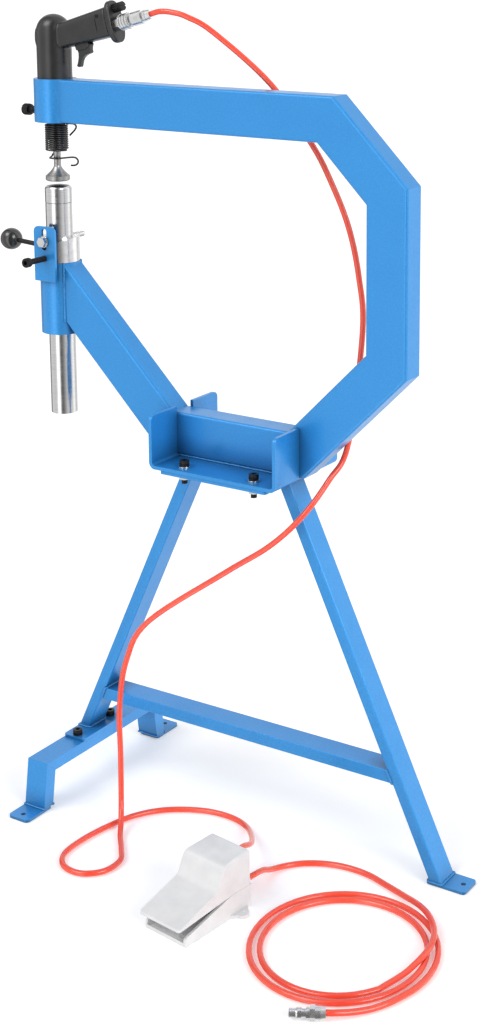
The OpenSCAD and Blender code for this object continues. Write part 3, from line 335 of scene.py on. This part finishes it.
def merged(node):
    """Mesh of a node with its flat faces joined, so that only true edges are rounded."""
    source = frame["nodes"][node].data
    mesh = bpy.data.meshes.new(node + "_rounded")
    mesh.from_pydata([v.co for v in source.vertices], [], [tuple(p.vertices) for p in source.polygons])
    form = bmesh.new()
    form.from_mesh(mesh)
    bmesh.ops.remove_doubles(form, verts=form.verts, dist=2e-6)
    bmesh.ops.dissolve_limit(form, angle_limit=math.radians(0.3), verts=form.verts, edges=form.edges)
    form.to_mesh(mesh)
    form.free()
    return mesh


def rounded(made, width, *nodes, slot=None):
    """Copies of plates with each sharp edge rounded to a width in millimetres."""
    for node in nodes:
        mesh = merged(node)
        mesh.shade_smooth()
        mesh.materials.append(made)
        piece = bpy.data.objects.new(node + "_rounded", mesh)
        bpy.context.scene.collection.objects.link(piece)
        edge = piece.modifiers.new("rounded_edges", "BEVEL")
        edge.width = width / 1000
        edge.segments = 3
        edge.limit_method = "ANGLE"
        edge.angle_limit = SHARP_FROM
        edge.harden_normals = True
        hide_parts(node)
        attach(piece, body_of[node])


rounded(blue_enamel, 0.7, "saddle_bracket", "stand_top_plate", "leg_base_plate", "right_foot_plate",
        "slot_plate")
rounded(blue_enamel, 1.8, "crossbar", "foot_beam")
rounded(blue_enamel, 1.0, "front_foot", "rear_foot")


# Weld beads where plates and tubes meet: overlapping flattened drops along each joint,
# as a welding gun leaves them, painted over with the rest.
def node_tree(name, **inputs):
    """Geometry Nodes tree with named inputs, and its two end nodes."""
    tree = bpy.data.node_groups.new(name, "GeometryNodeTree")
    tree.interface.new_socket("Geometry", in_out="INPUT", socket_type="NodeSocketGeometry")
    for key, value in inputs.items():
        kind = ("NodeSocketMaterial" if key == "Finish" else
                "NodeSocketInt" if isinstance(value, int) else "NodeSocketFloat")
        socket = tree.interface.new_socket(key.replace("_", " "), in_out="INPUT", socket_type=kind)
        if kind != "NodeSocketMaterial":
            socket.default_value = value
    tree.interface.new_socket("Geometry", in_out="OUTPUT", socket_type="NodeSocketGeometry")
    start, end = tree.nodes.new("NodeGroupInput"), tree.nodes.new("NodeGroupOutput")
    return tree, start, end


def chain(tree, source, *names):
    """Adds nodes one after another, geometry to geometry, and returns them in a list."""
    made = []
    for name in names:
        node = tree.nodes.new("GeometryNode" + name)
        if source is not None:
            tree.links.new(source, node.inputs[0])
        source = node.outputs[0]
        made.append(node)
    return made


def grown(name, tree, points, made, slot, body="frame", places=(Matrix(),), **sizes):
    """Runs a tree on each line of points and keeps the plain mesh that it grows as one piece."""
    total = bmesh.new()
    for line in points:
        base = bpy.data.meshes.new(name + "_line")
        base.from_pydata(line, [(i, i + 1) for i in range(len(line) - 1)], [])
        carrier = bpy.data.objects.new(name + "_line", base)
        bpy.context.scene.collection.objects.link(carrier)
        modifier = carrier.modifiers.new("grown", "NODES")
        modifier.node_group = tree
        for item in tree.interface.items_tree:
            key = item.name.replace(" ", "_")
            if item.in_out == "INPUT" and key in sizes:
                modifier[item.identifier] = sizes[key]
            if item.in_out == "INPUT" and key == "Finish":
                modifier[item.identifier] = made
        bpy.context.view_layer.update()
        result = bpy.data.meshes.new_from_object(carrier.evaluated_get(
            bpy.context.evaluated_depsgraph_get()))
        for place in places:
            copy = result.copy()
            copy.transform(place)
            total.from_mesh(copy)
            bpy.data.meshes.remove(copy)
        carrier.modifiers.clear()
        bpy.data.objects.remove(carrier)
    mesh = bpy.data.meshes.new(name)
    total.to_mesh(mesh)
    total.free()
    mesh.materials.clear()
    mesh.materials.append(made)
    mesh.shade_smooth()
    piece = bpy.data.objects.new(name, mesh)
    bpy.context.scene.collection.objects.link(piece)
    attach(piece, body)
    return piece


weld_tree, start, end = node_tree("weld_bead", Pitch=0.0018, Radius=0.0023, Seed=7, Finish=None)
_, resample, drops, _, painted = chain(
    weld_tree, start.outputs["Geometry"], "MeshToCurve", "ResampleCurve", "InstanceOnPoints",
    "RealizeInstances", "SetMaterial")
resample.mode = "LENGTH"
drop = weld_tree.nodes.new("GeometryNodeMeshIcoSphere")
drop.inputs["Subdivisions"].default_value = 2
uneven = weld_tree.nodes.new("FunctionNodeRandomValue")
uneven.data_type = "FLOAT_VECTOR"
uneven.inputs["Min"].default_value = (0.86, 0.86, 0.6)
uneven.inputs["Max"].default_value = (1.1, 1.1, 0.85)
for made, output, socket in ((resample, "Pitch", "Length"), (drop, "Radius", "Radius"),
                             (uneven, "Seed", "Seed"), (painted, "Finish", "Material")):
    weld_tree.links.new(start.outputs[output], made.inputs[socket])
weld_tree.links.new(drop.outputs[0], drops.inputs["Instance"])
weld_tree.links.new(uneven.outputs[0], drops.inputs["Scale"])
weld_tree.links.new(painted.outputs[0], end.inputs[0])
MIDDLE, LEG_TOP, LEG_OUT, LEG_IN, SLOPE = 318.0, 515.2, 86.4, 67.1, 0.465
PLATE_UNDER, BAR_TOP, BAR_LOW, TUBE_HALF = 516, 145, 127.5, 18
BEAM_TOP, FOOT_TOP, SADDLE_FLOOR = 75.0, 4.6, 526.8


def oblong(x0, x1, y, z):
    """Closed line round a tube or plate that stands at a height."""
    return [(x0, -y, z), (x1, -y, z), (x1, y, z), (x0, y, z), (x0, -y, z)]


welds = [oblong(26.3, 45.6, TUBE_HALF, BEAM_TOP), oblong(623.2, 642.5, TUBE_HALF, 4.5)]
for way in (-1, 1):
    welds.append(oblong(MIDDLE + way * LEG_IN, MIDDLE + way * LEG_OUT, TUBE_HALF, LEG_TOP))
    bar_top = MIDDLE + way * (LEG_IN + SLOPE * (PLATE_UNDER - BAR_TOP))
    bar_low = bar_top + way * SLOPE * (BAR_TOP - BAR_LOW)
    welds.append([(bar_top, -TUBE_HALF, BAR_TOP), (bar_top, TUBE_HALF, BAR_TOP),
                  (bar_low, TUBE_HALF, BAR_LOW), (bar_low, -TUBE_HALF, BAR_LOW),
                  (bar_top, -TUBE_HALF, BAR_TOP)])
    welds.append([(22.3, way * 18.5, 692), (22.3, way * 18.5, 775)])
    welds.append([(way * 12.4, -27.2, 753), (way * 12.4, -27.2, 774)])
    welds.append([(219, way * 18.8, SADDLE_FLOOR), (417, way * 18.8, SADDLE_FLOOR)])
    welds.append([(27, way * 139.6, FOOT_TOP), (62, way * 139.6, FOOT_TOP)])
    welds.append([(27, way * 120.2, FOOT_TOP), (62, way * 120.2, FOOT_TOP)])
grown("weld_beads", weld_tree, [[at(*p) for p in line] for line in welds], blue_enamel, "frame_paint")

# Socket-head bolts, washers and nuts that hold the saddle to the stand and the left leg to
# the foot beam: blackened or zinc-plated steel, with knurled heads and cut threads. The same
# two finishes serve the hammer's screws, the cam collar and the couplers; the hammer's barrel
# also takes the blackened finish, which keeps the gaps between the retainer spring's turns dark.
black_steel = shader("blackened_steel", Metallic=0.75, Roughness=0.36)
tinted(black_steel, texture(black_steel, "ShaderNodeTexNoise", Scale=220.0, Detail=4.0), 0.35,
       (0.017, 0.017, 0.018), 0.7, (0.036, 0.035, 0.034))
worn(black_steel, texture(black_steel, "ShaderNodeTexNoise", Scale=90.0), 0.28, 0.46)
relief(black_steel, texture(black_steel, "ShaderNodeTexNoise", Scale=1500.0), 0.00003, 0.4)
zinc_plate = shader("bright_zinc", Metallic=1.0, Roughness=0.2)
tinted(zinc_plate, texture(zinc_plate, "ShaderNodeTexNoise", Scale=120.0, Detail=3.0), 0.3,
       (0.66, 0.66, 0.67), 0.7, (0.79, 0.785, 0.775))
worn(zinc_plate, texture(zinc_plate, "ShaderNodeTexNoise", Scale=70.0, Detail=3.0), 0.13, 0.3)
relief(zinc_plate, texture(zinc_plate, "ShaderNodeTexNoise", Scale=800.0), 0.00002, 0.4)
finish(black_steel, "saddle_bolts", "foot_bolts", "trigger_pin", "roll_pin",
       "barrel_clamp_screw", "lock_screw", "lever_rod", "regulator_knob", "steel_barrel")
finish(zinc_plate, "saddle_nuts", "cross_bolt", "cam_collar", "inlet_nipple", "coupler_body",
       "coupler_sleeve", "hose_nut", "supply_plug", "valve_spring", "pedal_spring")
rounded(zinc_plate, 0.25, "saddle_washers", slot="plated_steel")


def facing(place, way):
    """Matrix that stands a piece at a place with its own z along a way."""
    return Matrix.Translation(at(*place)) @ Vector(way).to_track_quat("Z", "Y").to_matrix().to_4x4()


knurl_tree, start, end = node_tree("knurled_ring", Count=40, Ring_Radius=0.0065, Ridge=0.0003,
                                   Depth=0.006, Finish=None)
knurl_ring = knurl_tree.nodes.new("GeometryNodeMeshCircle")
ridges, _, painted = chain(knurl_tree, knurl_ring.outputs[0], "InstanceOnPoints",
                                  "RealizeInstances", "SetMaterial")
ridge = knurl_tree.nodes.new("GeometryNodeMeshCylinder")
ridge.inputs["Vertices"].default_value = 6
for made, output, socket in ((knurl_ring, "Count", "Vertices"), (knurl_ring, "Ring Radius", "Radius"),
                             (ridge, "Ridge", "Radius"), (ridge, "Depth", "Depth"),
                             (painted, "Finish", "Material")):
    knurl_tree.links.new(start.outputs[output], made.inputs[socket])
knurl_tree.links.new(ridge.outputs[0], ridges.inputs["Instance"])
knurl_tree.links.new(painted.outputs[0], end.inputs[0])

thread_tree, start, end = node_tree("cut_thread", Length=0.01, Radius=0.004, Pitch=0.00125, Ridge=0.0003,
                                    Finish=None)
spiral = thread_tree.nodes.new("GeometryNodeCurveSpiral")
spiral.inputs["Resolution"].default_value = 24
turns = thread_tree.nodes.new("ShaderNodeMath")
turns.operation = "DIVIDE"
crest = thread_tree.nodes.new("GeometryNodeCurvePrimitiveCircle")
crest.inputs["Resolution"].default_value = 6
ridged, painted = chain(thread_tree, spiral.outputs[0], "CurveToMesh", "SetMaterial")
ridged.inputs["Fill Caps"].default_value = True
for made, output, socket in ((turns, "Length", 0), (turns, "Pitch", 1), (spiral, "Length", "Height"),
                             (spiral, "Radius", "Start Radius"), (spiral, "Radius", "End Radius"),
                             (crest, "Ridge", "Radius"), (painted, "Finish", "Material")):
    thread_tree.links.new(start.outputs[output], made.inputs[socket])
thread_tree.links.new(turns.outputs[0], spiral.inputs["Rotations"])
thread_tree.links.new(crest.outputs[0], ridged.inputs["Profile Curve"])
thread_tree.links.new(painted.outputs[0], end.inputs[0])
HERE = [[Vector()]]
UP, DOWN = (0, 0, 1), (0, 0, -1)
HEAD_MIDDLE, SADDLE_HEADS, FOOT_HEADS = 3.8, 527.8, 74.5
SADDLE_NUTS_UNDER, FOOT_BOLTS_UNDER = 509.6, 53.9
saddle_spots = [(MIDDLE + x * 57, y * 58) for x in (-1, 1) for y in (-1, 1)]
foot_spots = [(44.6, -6 + y * 37) for y in (-1, 1)]
grown("bolt_head_knurls", knurl_tree, HERE, black_steel, "black_oxide",
      places=[facing((x, y, SADDLE_HEADS + HEAD_MIDDLE), UP) for x, y in saddle_spots]
      + [facing((x, y, FOOT_HEADS + HEAD_MIDDLE), UP) for x, y in foot_spots])
grown("bolt_threads", thread_tree, HERE, black_steel, "black_oxide", Length=0.0065,
      places=[facing((x, y, SADDLE_NUTS_UNDER), DOWN) for x, y in saddle_spots])
grown("foot_bolt_threads", thread_tree, HERE, black_steel, "black_oxide", Length=0.0075,
      places=[facing((x, y, FOOT_BOLTS_UNDER), DOWN) for x, y in foot_spots])

# Anvil, post, piston and tool: ground and polished steel, turned on a lathe, so a very fine
# ring grain runs round each of them. The anvil's crowned face is painted near black as painted shade.
ground_steel = shader("ground_steel", Metallic=1.0, Roughness=0.2)
tinted(ground_steel, texture(ground_steel, "ShaderNodeTexNoise", stretch=(0.4, 0.4, 30), Scale=40.0,
                             Detail=4.0), 0.3, (0.58, 0.58, 0.585), 0.7, (0.66, 0.66, 0.66))
worn(ground_steel, texture(ground_steel, "ShaderNodeTexNoise", stretch=(1, 1, 12), Scale=30.0,
                           Detail=3.0), 0.13, 0.27)
relief(ground_steel, texture(ground_steel, "ShaderNodeTexNoise", stretch=(0.5, 0.5, 60), Scale=90.0),
       0.00002, 0.3)
finish(ground_steel, "anvil_post", "piston", "valve_spool")
# Painted shade: the anvil's faces that point up are painted near black, picked out by their normal.
crown_steel = ground_steel.copy()
crown_steel.name = "blued_crown_steel"
tree = crown_steel.node_tree
slope = tree.nodes.new("ShaderNodeSeparateXYZ")
tree.links.new(tree.nodes.new("ShaderNodeNewGeometry").outputs["Normal"], slope.inputs[0])
top_shade_mask = tree.nodes.new("ShaderNodeMapRange")
top_shade_mask.inputs["From Min"].default_value = 0.93
top_shade_mask.inputs["From Max"].default_value = 0.96
tree.links.new(slope.outputs["Z"], top_shade_mask.inputs["Value"])
painted_top_shade = tree.nodes.new("ShaderNodeMix")
painted_top_shade.data_type = "RGBA"
painted_top_shade.inputs["B"].default_value = (0.02, 0.02, 0.022, 1)
colour = tree.nodes["Principled BSDF"].inputs["Base Color"]
tree.links.new(top_shade_mask.outputs[0], painted_top_shade.inputs["Factor"])
tree.links.new(colour.links[0].from_socket, painted_top_shade.inputs["A"])
tree.links.new(painted_top_shade.outputs["Result"], colour)
finish(crown_steel, "anvil")
turned_steel = shader("turned_tool_steel", Metallic=1.0, Roughness=0.36)
tinted(turned_steel, texture(turned_steel, "ShaderNodeTexNoise", stretch=(1, 1, 26), Scale=55.0,
                             Detail=3.0), 0.3, (0.3, 0.295, 0.29), 0.7, (0.42, 0.415, 0.41))
worn(turned_steel, texture(turned_steel, "ShaderNodeTexNoise", stretch=(1, 1, 14), Scale=40.0), 0.3, 0.42)
finish(turned_steel, "planishing_tool")

# Lift bolt, lock screw and clamp screw: M8 and M10 screws with cut threads and knurled
# heads; the hexagon bolt crosses the post and rides on the cam.
LIFT_Z, LOCK_Z, CLAMP_Z = 807.25, 783, 990
grown("lift_bolt_thread", thread_tree, HERE, zinc_plate, "plated_steel", "anvil_carrier",
      places=[facing((0, 22, LIFT_Z), (0, 1, 0))], Length=0.028)
grown("lock_screw_thread", thread_tree, HERE, black_steel, "black_oxide", "lock_screw",
      places=[facing((0, -34.4, LOCK_Z), (0, -1, 0))], Length=0.029)
grown("lock_screw_knurl", knurl_tree, HERE, black_steel, "black_oxide", "lock_screw",
      places=[facing((0, -28.6 - 40.6, LOCK_Z), (0, -1, 0))], Depth=0.0066)
grown("clamp_screw_thread", thread_tree, HERE, black_steel, "black_oxide", "clamp_screw",
      places=[facing((-31.2, 0, CLAMP_Z), (-1, 0, 0))], Length=0.016, Radius=0.005)
grown("clamp_screw_knurl", knurl_tree, HERE, black_steel, "black_oxide", "clamp_screw",
      places=[facing((-24.8 - 28.0, 0, CLAMP_Z), (-1, 0, 0))], Depth=0.0086, Ring_Radius=0.008, Count=48)

# Ball of the cam lever: black phenolic, moulded and polished, with a flat where it is
# screwed on its rod.
gloss_black = shader("polished_black_phenolic", Roughness=0.14, Coat_Weight=0.5, Coat_Roughness=0.05)
tinted(gloss_black, texture(gloss_black, "ShaderNodeTexNoise", Scale=60.0, Detail=4.0), 0.35,
       (0.008, 0.008, 0.009), 0.7, (0.02, 0.02, 0.021))
worn(gloss_black, texture(gloss_black, "ShaderNodeTexNoise", Scale=130.0), 0.1, 0.24)
BALL_R, BALL_FLAT, RINGS = 16.0, 1.0, 64


def lathe(name, profile, place, way, made, body, replaced):
    """Solid of revolution from [radius, height] pairs, standing at a place and facing a way."""
    form = bmesh.new()
    rows = []
    for r, z in profile:
        if r == 0:
            rows.append([form.verts.new((0, 0, z / 1000))] * RINGS)
        else:
            rows.append([form.verts.new((r / 1000 * math.cos(2 * math.pi * i / RINGS),
                                         r / 1000 * math.sin(2 * math.pi * i / RINGS), z / 1000))
                         for i in range(RINGS)])
    for low, high in zip(rows, rows[1:]):
        for i in range(RINGS):
            k = (i + 1) % RINGS
            corners = []
            for corner in (low[i], low[k], high[k], high[i]):
                if corner not in corners:
                    corners.append(corner)
            if len(corners) > 2:
                form.faces.new(corners)
    form.transform(facing(place, way))
    bmesh.ops.recalc_face_normals(form, faces=form.faces)
    mesh = bpy.data.meshes.new(name)
    form.to_mesh(mesh)
    form.free()
    mesh.shade_smooth()
    mesh.set_sharp_from_angle(angle=math.radians(35))
    mesh.materials.append(made)
    piece = bpy.data.objects.new(name, mesh)
    bpy.context.scene.collection.objects.link(piece)
    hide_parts(replaced)
    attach(piece, body)


flat_from = math.acos(1 - BALL_FLAT / BALL_R)
ball_arc = [(BALL_R * math.sin(a), BALL_R * math.cos(a)) for a in
            (flat_from + (math.pi - flat_from) * i / 48 for i in range(48))]
ROD_RISE, ROD_Z, ROD_RUN, BALL_X = math.radians(4), 793.7, 64, -92.3
lathe("lever_ball", [(0, BALL_R - BALL_FLAT)] + ball_arc + [(0, -BALL_R)],
      (BALL_X, 0, ROD_Z + ROD_RUN * math.tan(ROD_RISE)), (math.cos(ROD_RISE), 0, -math.sin(ROD_RISE)),
      gloss_black, "cam", "ball_knob")

# Hammer casing: one casting in satin black enamel. The handle flows into the barrel with a
# soft fillet, a round boss stands on the left of the head, and the grip has a shallow recess.
satin_black = shader("satin_black_enamel", Roughness=0.3, Coat_Weight=0.12, Coat_Roughness=0.3)
tinted(satin_black, texture(satin_black, "ShaderNodeTexNoise", Scale=45.0, Detail=4.0), 0.3,
       (0.011, 0.011, 0.0115), 0.7, (0.018, 0.018, 0.0185))
worn(satin_black, texture(satin_black, "ShaderNodeTexNoise", Scale=60.0, Detail=3.0), 0.25, 0.36)
relief(satin_black, texture(satin_black, "ShaderNodeTexNoise", Scale=1300.0, Detail=3.0), 0.00012, 0.4)
HEAD_R, HEAD_LOW, DOME_AT, VOXEL = 24.5, 978.0, 1102.5, 0.0011


def stacked(form, rings):
    """Adds a closed skin through rings of as many points, with both ends filled."""
    rows = [[form.verts.new(at(*p)) for p in ring] for ring in rings]
    count = len(rows[0])
    for low, high in zip(rows, rows[1:]):
        for i in range(count):
            form.faces.new((low[i], low[(i + 1) % count], high[(i + 1) % count], high[i]))
    form.faces.new(rows[0][::-1])
    form.faces.new(rows[-1])


def ring(r, z, count=72):
    """Level circle about the tool's axis."""
    return [(r * math.cos(2 * math.pi * i / count), r * math.sin(2 * math.pi * i / count), z)
            for i in range(count)]


def grip(u, half_y, half_w, middle=0.0, square=3.4, count=56):
    """Cross-section of the handle: a rounded oblong, or an oval where square is near 2."""
    points = []
    for i in range(count):
        c, s = math.cos(2 * math.pi * i / count), math.sin(2 * math.pi * i / count)
        points.append(in_handle(u, middle + half_w * math.copysign(abs(s) ** (2 / square), s),
                                half_y * math.copysign(abs(c) ** (2 / square), c)))
    return points


def disc(place, way, r, thick, count=48):
    """Rings of a round boss with a broken edge, sunk 6 mm into what it stands on."""
    turn = Vector(way).to_track_quat("Z", "Y").to_matrix()
    return [[tuple(Vector(place) + turn @ Vector((radius * math.cos(2 * math.pi * i / count),
                                                  radius * math.sin(2 * math.pi * i / count), height)))
             for i in range(count)] for radius, height in ((r, -6), (r, thick - 0.8), (r - 0.8, thick))]


def cast(name, blank, cutting, body, replaced, voxel=None):
    """One casting from overlapping blanks: skinned over where a voxel size is given, then cut."""
    objects = []
    for label, form in (("_blank", blank), ("_cutter", cutting)):
        bmesh.ops.recalc_face_normals(form, faces=form.faces)
        mesh = bpy.data.meshes.new(name + label)
        form.to_mesh(mesh)
        form.free()
        objects.append(bpy.data.objects.new(name + label, mesh))
        bpy.context.scene.collection.objects.link(objects[-1])
    if voxel:
        skin = objects[0].modifiers.new("skin", "REMESH")
        skin.mode = "VOXEL"
        skin.voxel_size = voxel
        eased = objects[0].modifiers.new("eased", "SMOOTH")
        eased.factor = 0.5
        eased.iterations = 10
    bore = objects[0].modifiers.new("bore", "BOOLEAN")
    bore.operation = "DIFFERENCE"
    bore.solver = "EXACT"
    bore.object = objects[1]
    bpy.context.view_layer.update()
    mesh = bpy.data.meshes.new_from_object(objects[0].evaluated_get(bpy.context.evaluated_depsgraph_get()))
    for spare in objects:
        bpy.data.objects.remove(spare)
    mesh.name = name
    mesh.shade_smooth()
    mesh.set_sharp_from_angle(angle=math.radians(50))
    mesh.materials.clear()
    mesh.materials.append(satin_black)
    piece = bpy.data.objects.new(name, mesh)
    bpy.context.scene.collection.objects.link(piece)
    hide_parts(replaced)
    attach(piece, body)


HALF_Y = 15.5
casing, cutting = bmesh.new(), bmesh.new()
dome = [ring(HEAD_R * math.cos(math.radians(a)), DOME_AT + HEAD_R * math.sin(math.radians(a)))
        for a in range(0, 90, 6)]
stacked(casing, [ring(HEAD_R, HEAD_LOW)] + dome + [ring(0.6, DOME_AT + HEAD_R)])
stacked(casing, [grip(u, HALF_Y, half_w)
                 for u, half_w in ((-15, 18), (10, 18.7), (50, 20.2), (72, 21), (78.05, 21.3))])
BOSS = math.radians(214)
boss_way = (math.cos(BOSS), math.sin(BOSS), 0)
stacked(casing, disc((22.9 * boss_way[0], 22.9 * boss_way[1], 1095), boss_way, 12, 2.3))
BORE_R, BORE_TOP, TRIGGER_SLOT = 12.65, 1100.2, 6.3
stacked(cutting, [ring(BORE_R, HEAD_LOW - 5), ring(BORE_R, BORE_TOP)])
stacked(cutting, [[in_handle(u, w, y) for u, y in ((2, -TRIGGER_SLOT), (40, -TRIGGER_SLOT),
                                                   (40, TRIGGER_SLOT), (2, TRIGGER_SLOT))][::-1]
                  for w in (-40, -10)])
stacked(cutting, [[in_handle(u, w, y) for u, w in ((60.5, -12), (71.5, -12), (71.5, 8.2), (60.5, 8.2))]
                  for y in (-14.75, -17)])
cast("hammer_casing", casing, cutting, "frame", "hammer_housing", VOXEL)

# End plate and trigger of the hammer: the plate an oval flange with a rolled rim, bored for
# the inlet and the regulator, and the trigger a slim hooked blade under a thicker hub.
plate, cutting = bmesh.new(), bmesh.new()
PLATE_MID, PLATE_TALL, PLATE_ROUND, INLET_W, KNOB_W = -1.5, 29.3, 2.5, -5.5, 16.0
stacked(plate, [grip(u, 15.4 - inset, PLATE_TALL - inset, PLATE_MID, PLATE_ROUND)
                for u, inset in ((78.05, 1.5), (78.5, 0.5), (79.5, 0), (84.5, 0), (85.5, 0.5), (85.95, 1.5))])
for w, r in ((INLET_W, 6.05), (KNOB_W, 3.05)):
    stacked(cutting, [[in_handle(u, w + r * math.sin(math.radians(a)), r * math.cos(math.radians(a)))
                       for a in range(0, 360, 10)] for u in (77, 87)])
cast("handle_end_flange", plate, cutting, "frame", "handle_end_plate")
TRIGGER_PIN, PIN_R = (25.8, -16.2), 2.55
blade = [(9, -19), (10, -29), (8.3, -36), (5.3, -42), (2.2, -46.2), (5, -48.4), (7.4, -48.6), (8.9, -46),
         (11.6, -41), (15.2, -37.4), (20, -35.2), (26, -34.4), (30, -33.9), (31.8, -32.6), (31.4, -30.6),
         (32.6, -26), (34.6, -23), (32.5, -19.4), (29, -17)]
hub = [(8, -18.9), (8.6, -25), (14, -26.5), (24, -27), (31, -25), (33.4, -21.5), (32, -18.9), (29, -14),
       (25.8, -12), (21, -15)]
trigger_form, cutting = bmesh.new(), bmesh.new()
for profile, half in ((blade, 3.9), (hub, 5.85)):
    stacked(trigger_form, [[in_handle(u, w, y) for u, w in profile] for y in (-half, half)])
stacked(cutting, [[in_handle(TRIGGER_PIN[0] + PIN_R * math.cos(math.radians(a)),
                             TRIGGER_PIN[1] + PIN_R * math.sin(math.radians(a)), y)
                   for a in range(0, 360, 10)] for y in (-9, 9)])
cast("trigger_blade", trigger_form, cutting, body_of["trigger"], "trigger", 0.00045)
finish(satin_black, "valve_stem")
grown("sleeve_knurl", knurl_tree, HERE, zinc_plate, "plated_steel", "sleeve", Depth=0.0026, Count=60,
      Ring_Radius=0.0111, Ridge=0.00035,
      places=[facing(in_handle(93 + x + 2.3, -5.5), (math.cos(RISE), 0, math.sin(RISE)))
              for x in (0, 13.8)])

# Retainer spring: 2.6 mm black spring wire, wound close over the barrel's nose, gripping the
# tool under its collar, with a hook at each end.
CURL_TOP, CURL_PITCH, CURLS, CURL_R, CURL_START, GRIP_R = 972.1, 3.1, 11.8, 15.4, 25, 10.6
CURL_LOW = CURL_TOP - CURLS * CURL_PITCH
GRIP_Z = CURL_LOW - CURL_PITCH / 2
GRIP_ANGLE = CURL_START + CURLS * 360 + 180
RING_Z = GRIP_Z - 10
spring_line = [(18.2, 42, CURL_TOP - 17), (22.6, 42, CURL_TOP - 12.4), (26.3, 42, CURL_TOP - 8),
               (27.6, 42, CURL_TOP - 4), (24.9, 42, CURL_TOP - 0.8), (20.6, 41, CURL_TOP),
               (17.3, 36, CURL_TOP + 0.2)]
spring_line += [(CURL_R, CURL_START + 45 * i, CURL_TOP - CURL_PITCH * i / 8) for i in range(95)]
spring_line += [(CURL_R + (GRIP_R - CURL_R) * i / 4, CURL_START + CURLS * 360 + 45 * i,
                 CURL_LOW - CURL_PITCH / 2 * i / 4) for i in range(1, 5)]
spring_line += [(GRIP_R, GRIP_ANGLE + 14 * i, GRIP_Z - fall) for i, fall in ((1, 1.6), (2, 5), (3, 8.4))]
spring_line += [(GRIP_R, GRIP_ANGLE + 68 + 40 * i, RING_Z) for i in range(5)]
spring_line += [(12.4, 18, RING_Z), (16.4, 36, RING_Z), (21.5, 41, RING_Z), (26, 42, RING_Z - 1),
                (28.9, 42, RING_Z - 5), (28.2, 42, RING_Z - 9), (24.5, 42, RING_Z - 11.6),
                (18.5, 42, RING_Z - 11.6)]
wire_tree, start, end = node_tree("drawn_wire", Radius=0.0013, Sides=14, Finish=None)
_, drawn, painted = chain(wire_tree, start.outputs["Geometry"], "MeshToCurve", "CurveToMesh",
                          "SetMaterial")
drawn.inputs["Fill Caps"].default_value = True
section = wire_tree.nodes.new("GeometryNodeCurvePrimitiveCircle")
for made, output, socket in ((section, "Radius", "Radius"), (section, "Sides", "Resolution"),
                             (painted, "Finish", "Material")):
    wire_tree.links.new(start.outputs[output], made.inputs[socket])
wire_tree.links.new(section.outputs[0], drawn.inputs["Profile Curve"])
wire_tree.links.new(painted.outputs[0], end.inputs[0])
spring_wire = smooth([(r * math.cos(math.radians(a)), r * math.sin(math.radians(a)), z)
                      for r, a, z in spring_line], 4)
spring_black = shader("oiled_black_spring_wire", Roughness=0.28, Coat_Weight=0.1,
                      Coat_Roughness=0.14)
tinted(spring_black, texture(spring_black, "ShaderNodeTexNoise", Scale=90.0, Detail=3.0), 0.3,
       (0.005, 0.005, 0.005), 0.7, (0.01, 0.0098, 0.0095))
worn(spring_black, texture(spring_black, "ShaderNodeTexNoise", Scale=200.0), 0.16, 0.28)
spring = grown("wound_retainer_spring", wire_tree, [[at(*p) for p in spring_wire]], spring_black,
               "black_oxide")
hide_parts("retainer_spring")

# Foot pedal: two pressure castings in pale grey enamel, a tray with the valve in it and a
# cover that is tread and hood in one, on two pins.
pedal_enamel = shader("pale_grey_enamel", Roughness=0.38, Coat_Weight=0.15, Coat_Roughness=0.2)
tinted(pedal_enamel, texture(pedal_enamel, "ShaderNodeTexNoise", Scale=50.0, Detail=4.0), 0.3,
       (0.69, 0.69, 0.695), 0.7, (0.76, 0.76, 0.76))
worn(pedal_enamel, texture(pedal_enamel, "ShaderNodeTexNoise", Scale=80.0, Detail=2.0), 0.3, 0.46)
relief(pedal_enamel, texture(pedal_enamel, "ShaderNodeTexNoise", Scale=700.0, Detail=2.0), 0.00014, 0.4)
rounded(pedal_enamel, 0.9, "pedal_base", "pedal_treadle")
finish(pedal_enamel, "port_fittings", "treadle_pins")
die_cast = shader("die_cast_alloy", Metallic=0.85, Roughness=0.42)
tinted(die_cast, texture(die_cast, "ShaderNodeTexNoise", Scale=150.0, Detail=5.0), 0.3,
       (0.4, 0.4, 0.41), 0.7, (0.56, 0.56, 0.57))
relief(die_cast, texture(die_cast, "ShaderNodeTexNoise", Scale=900.0), 0.0001, 0.5)
finish(die_cast, "valve_body")
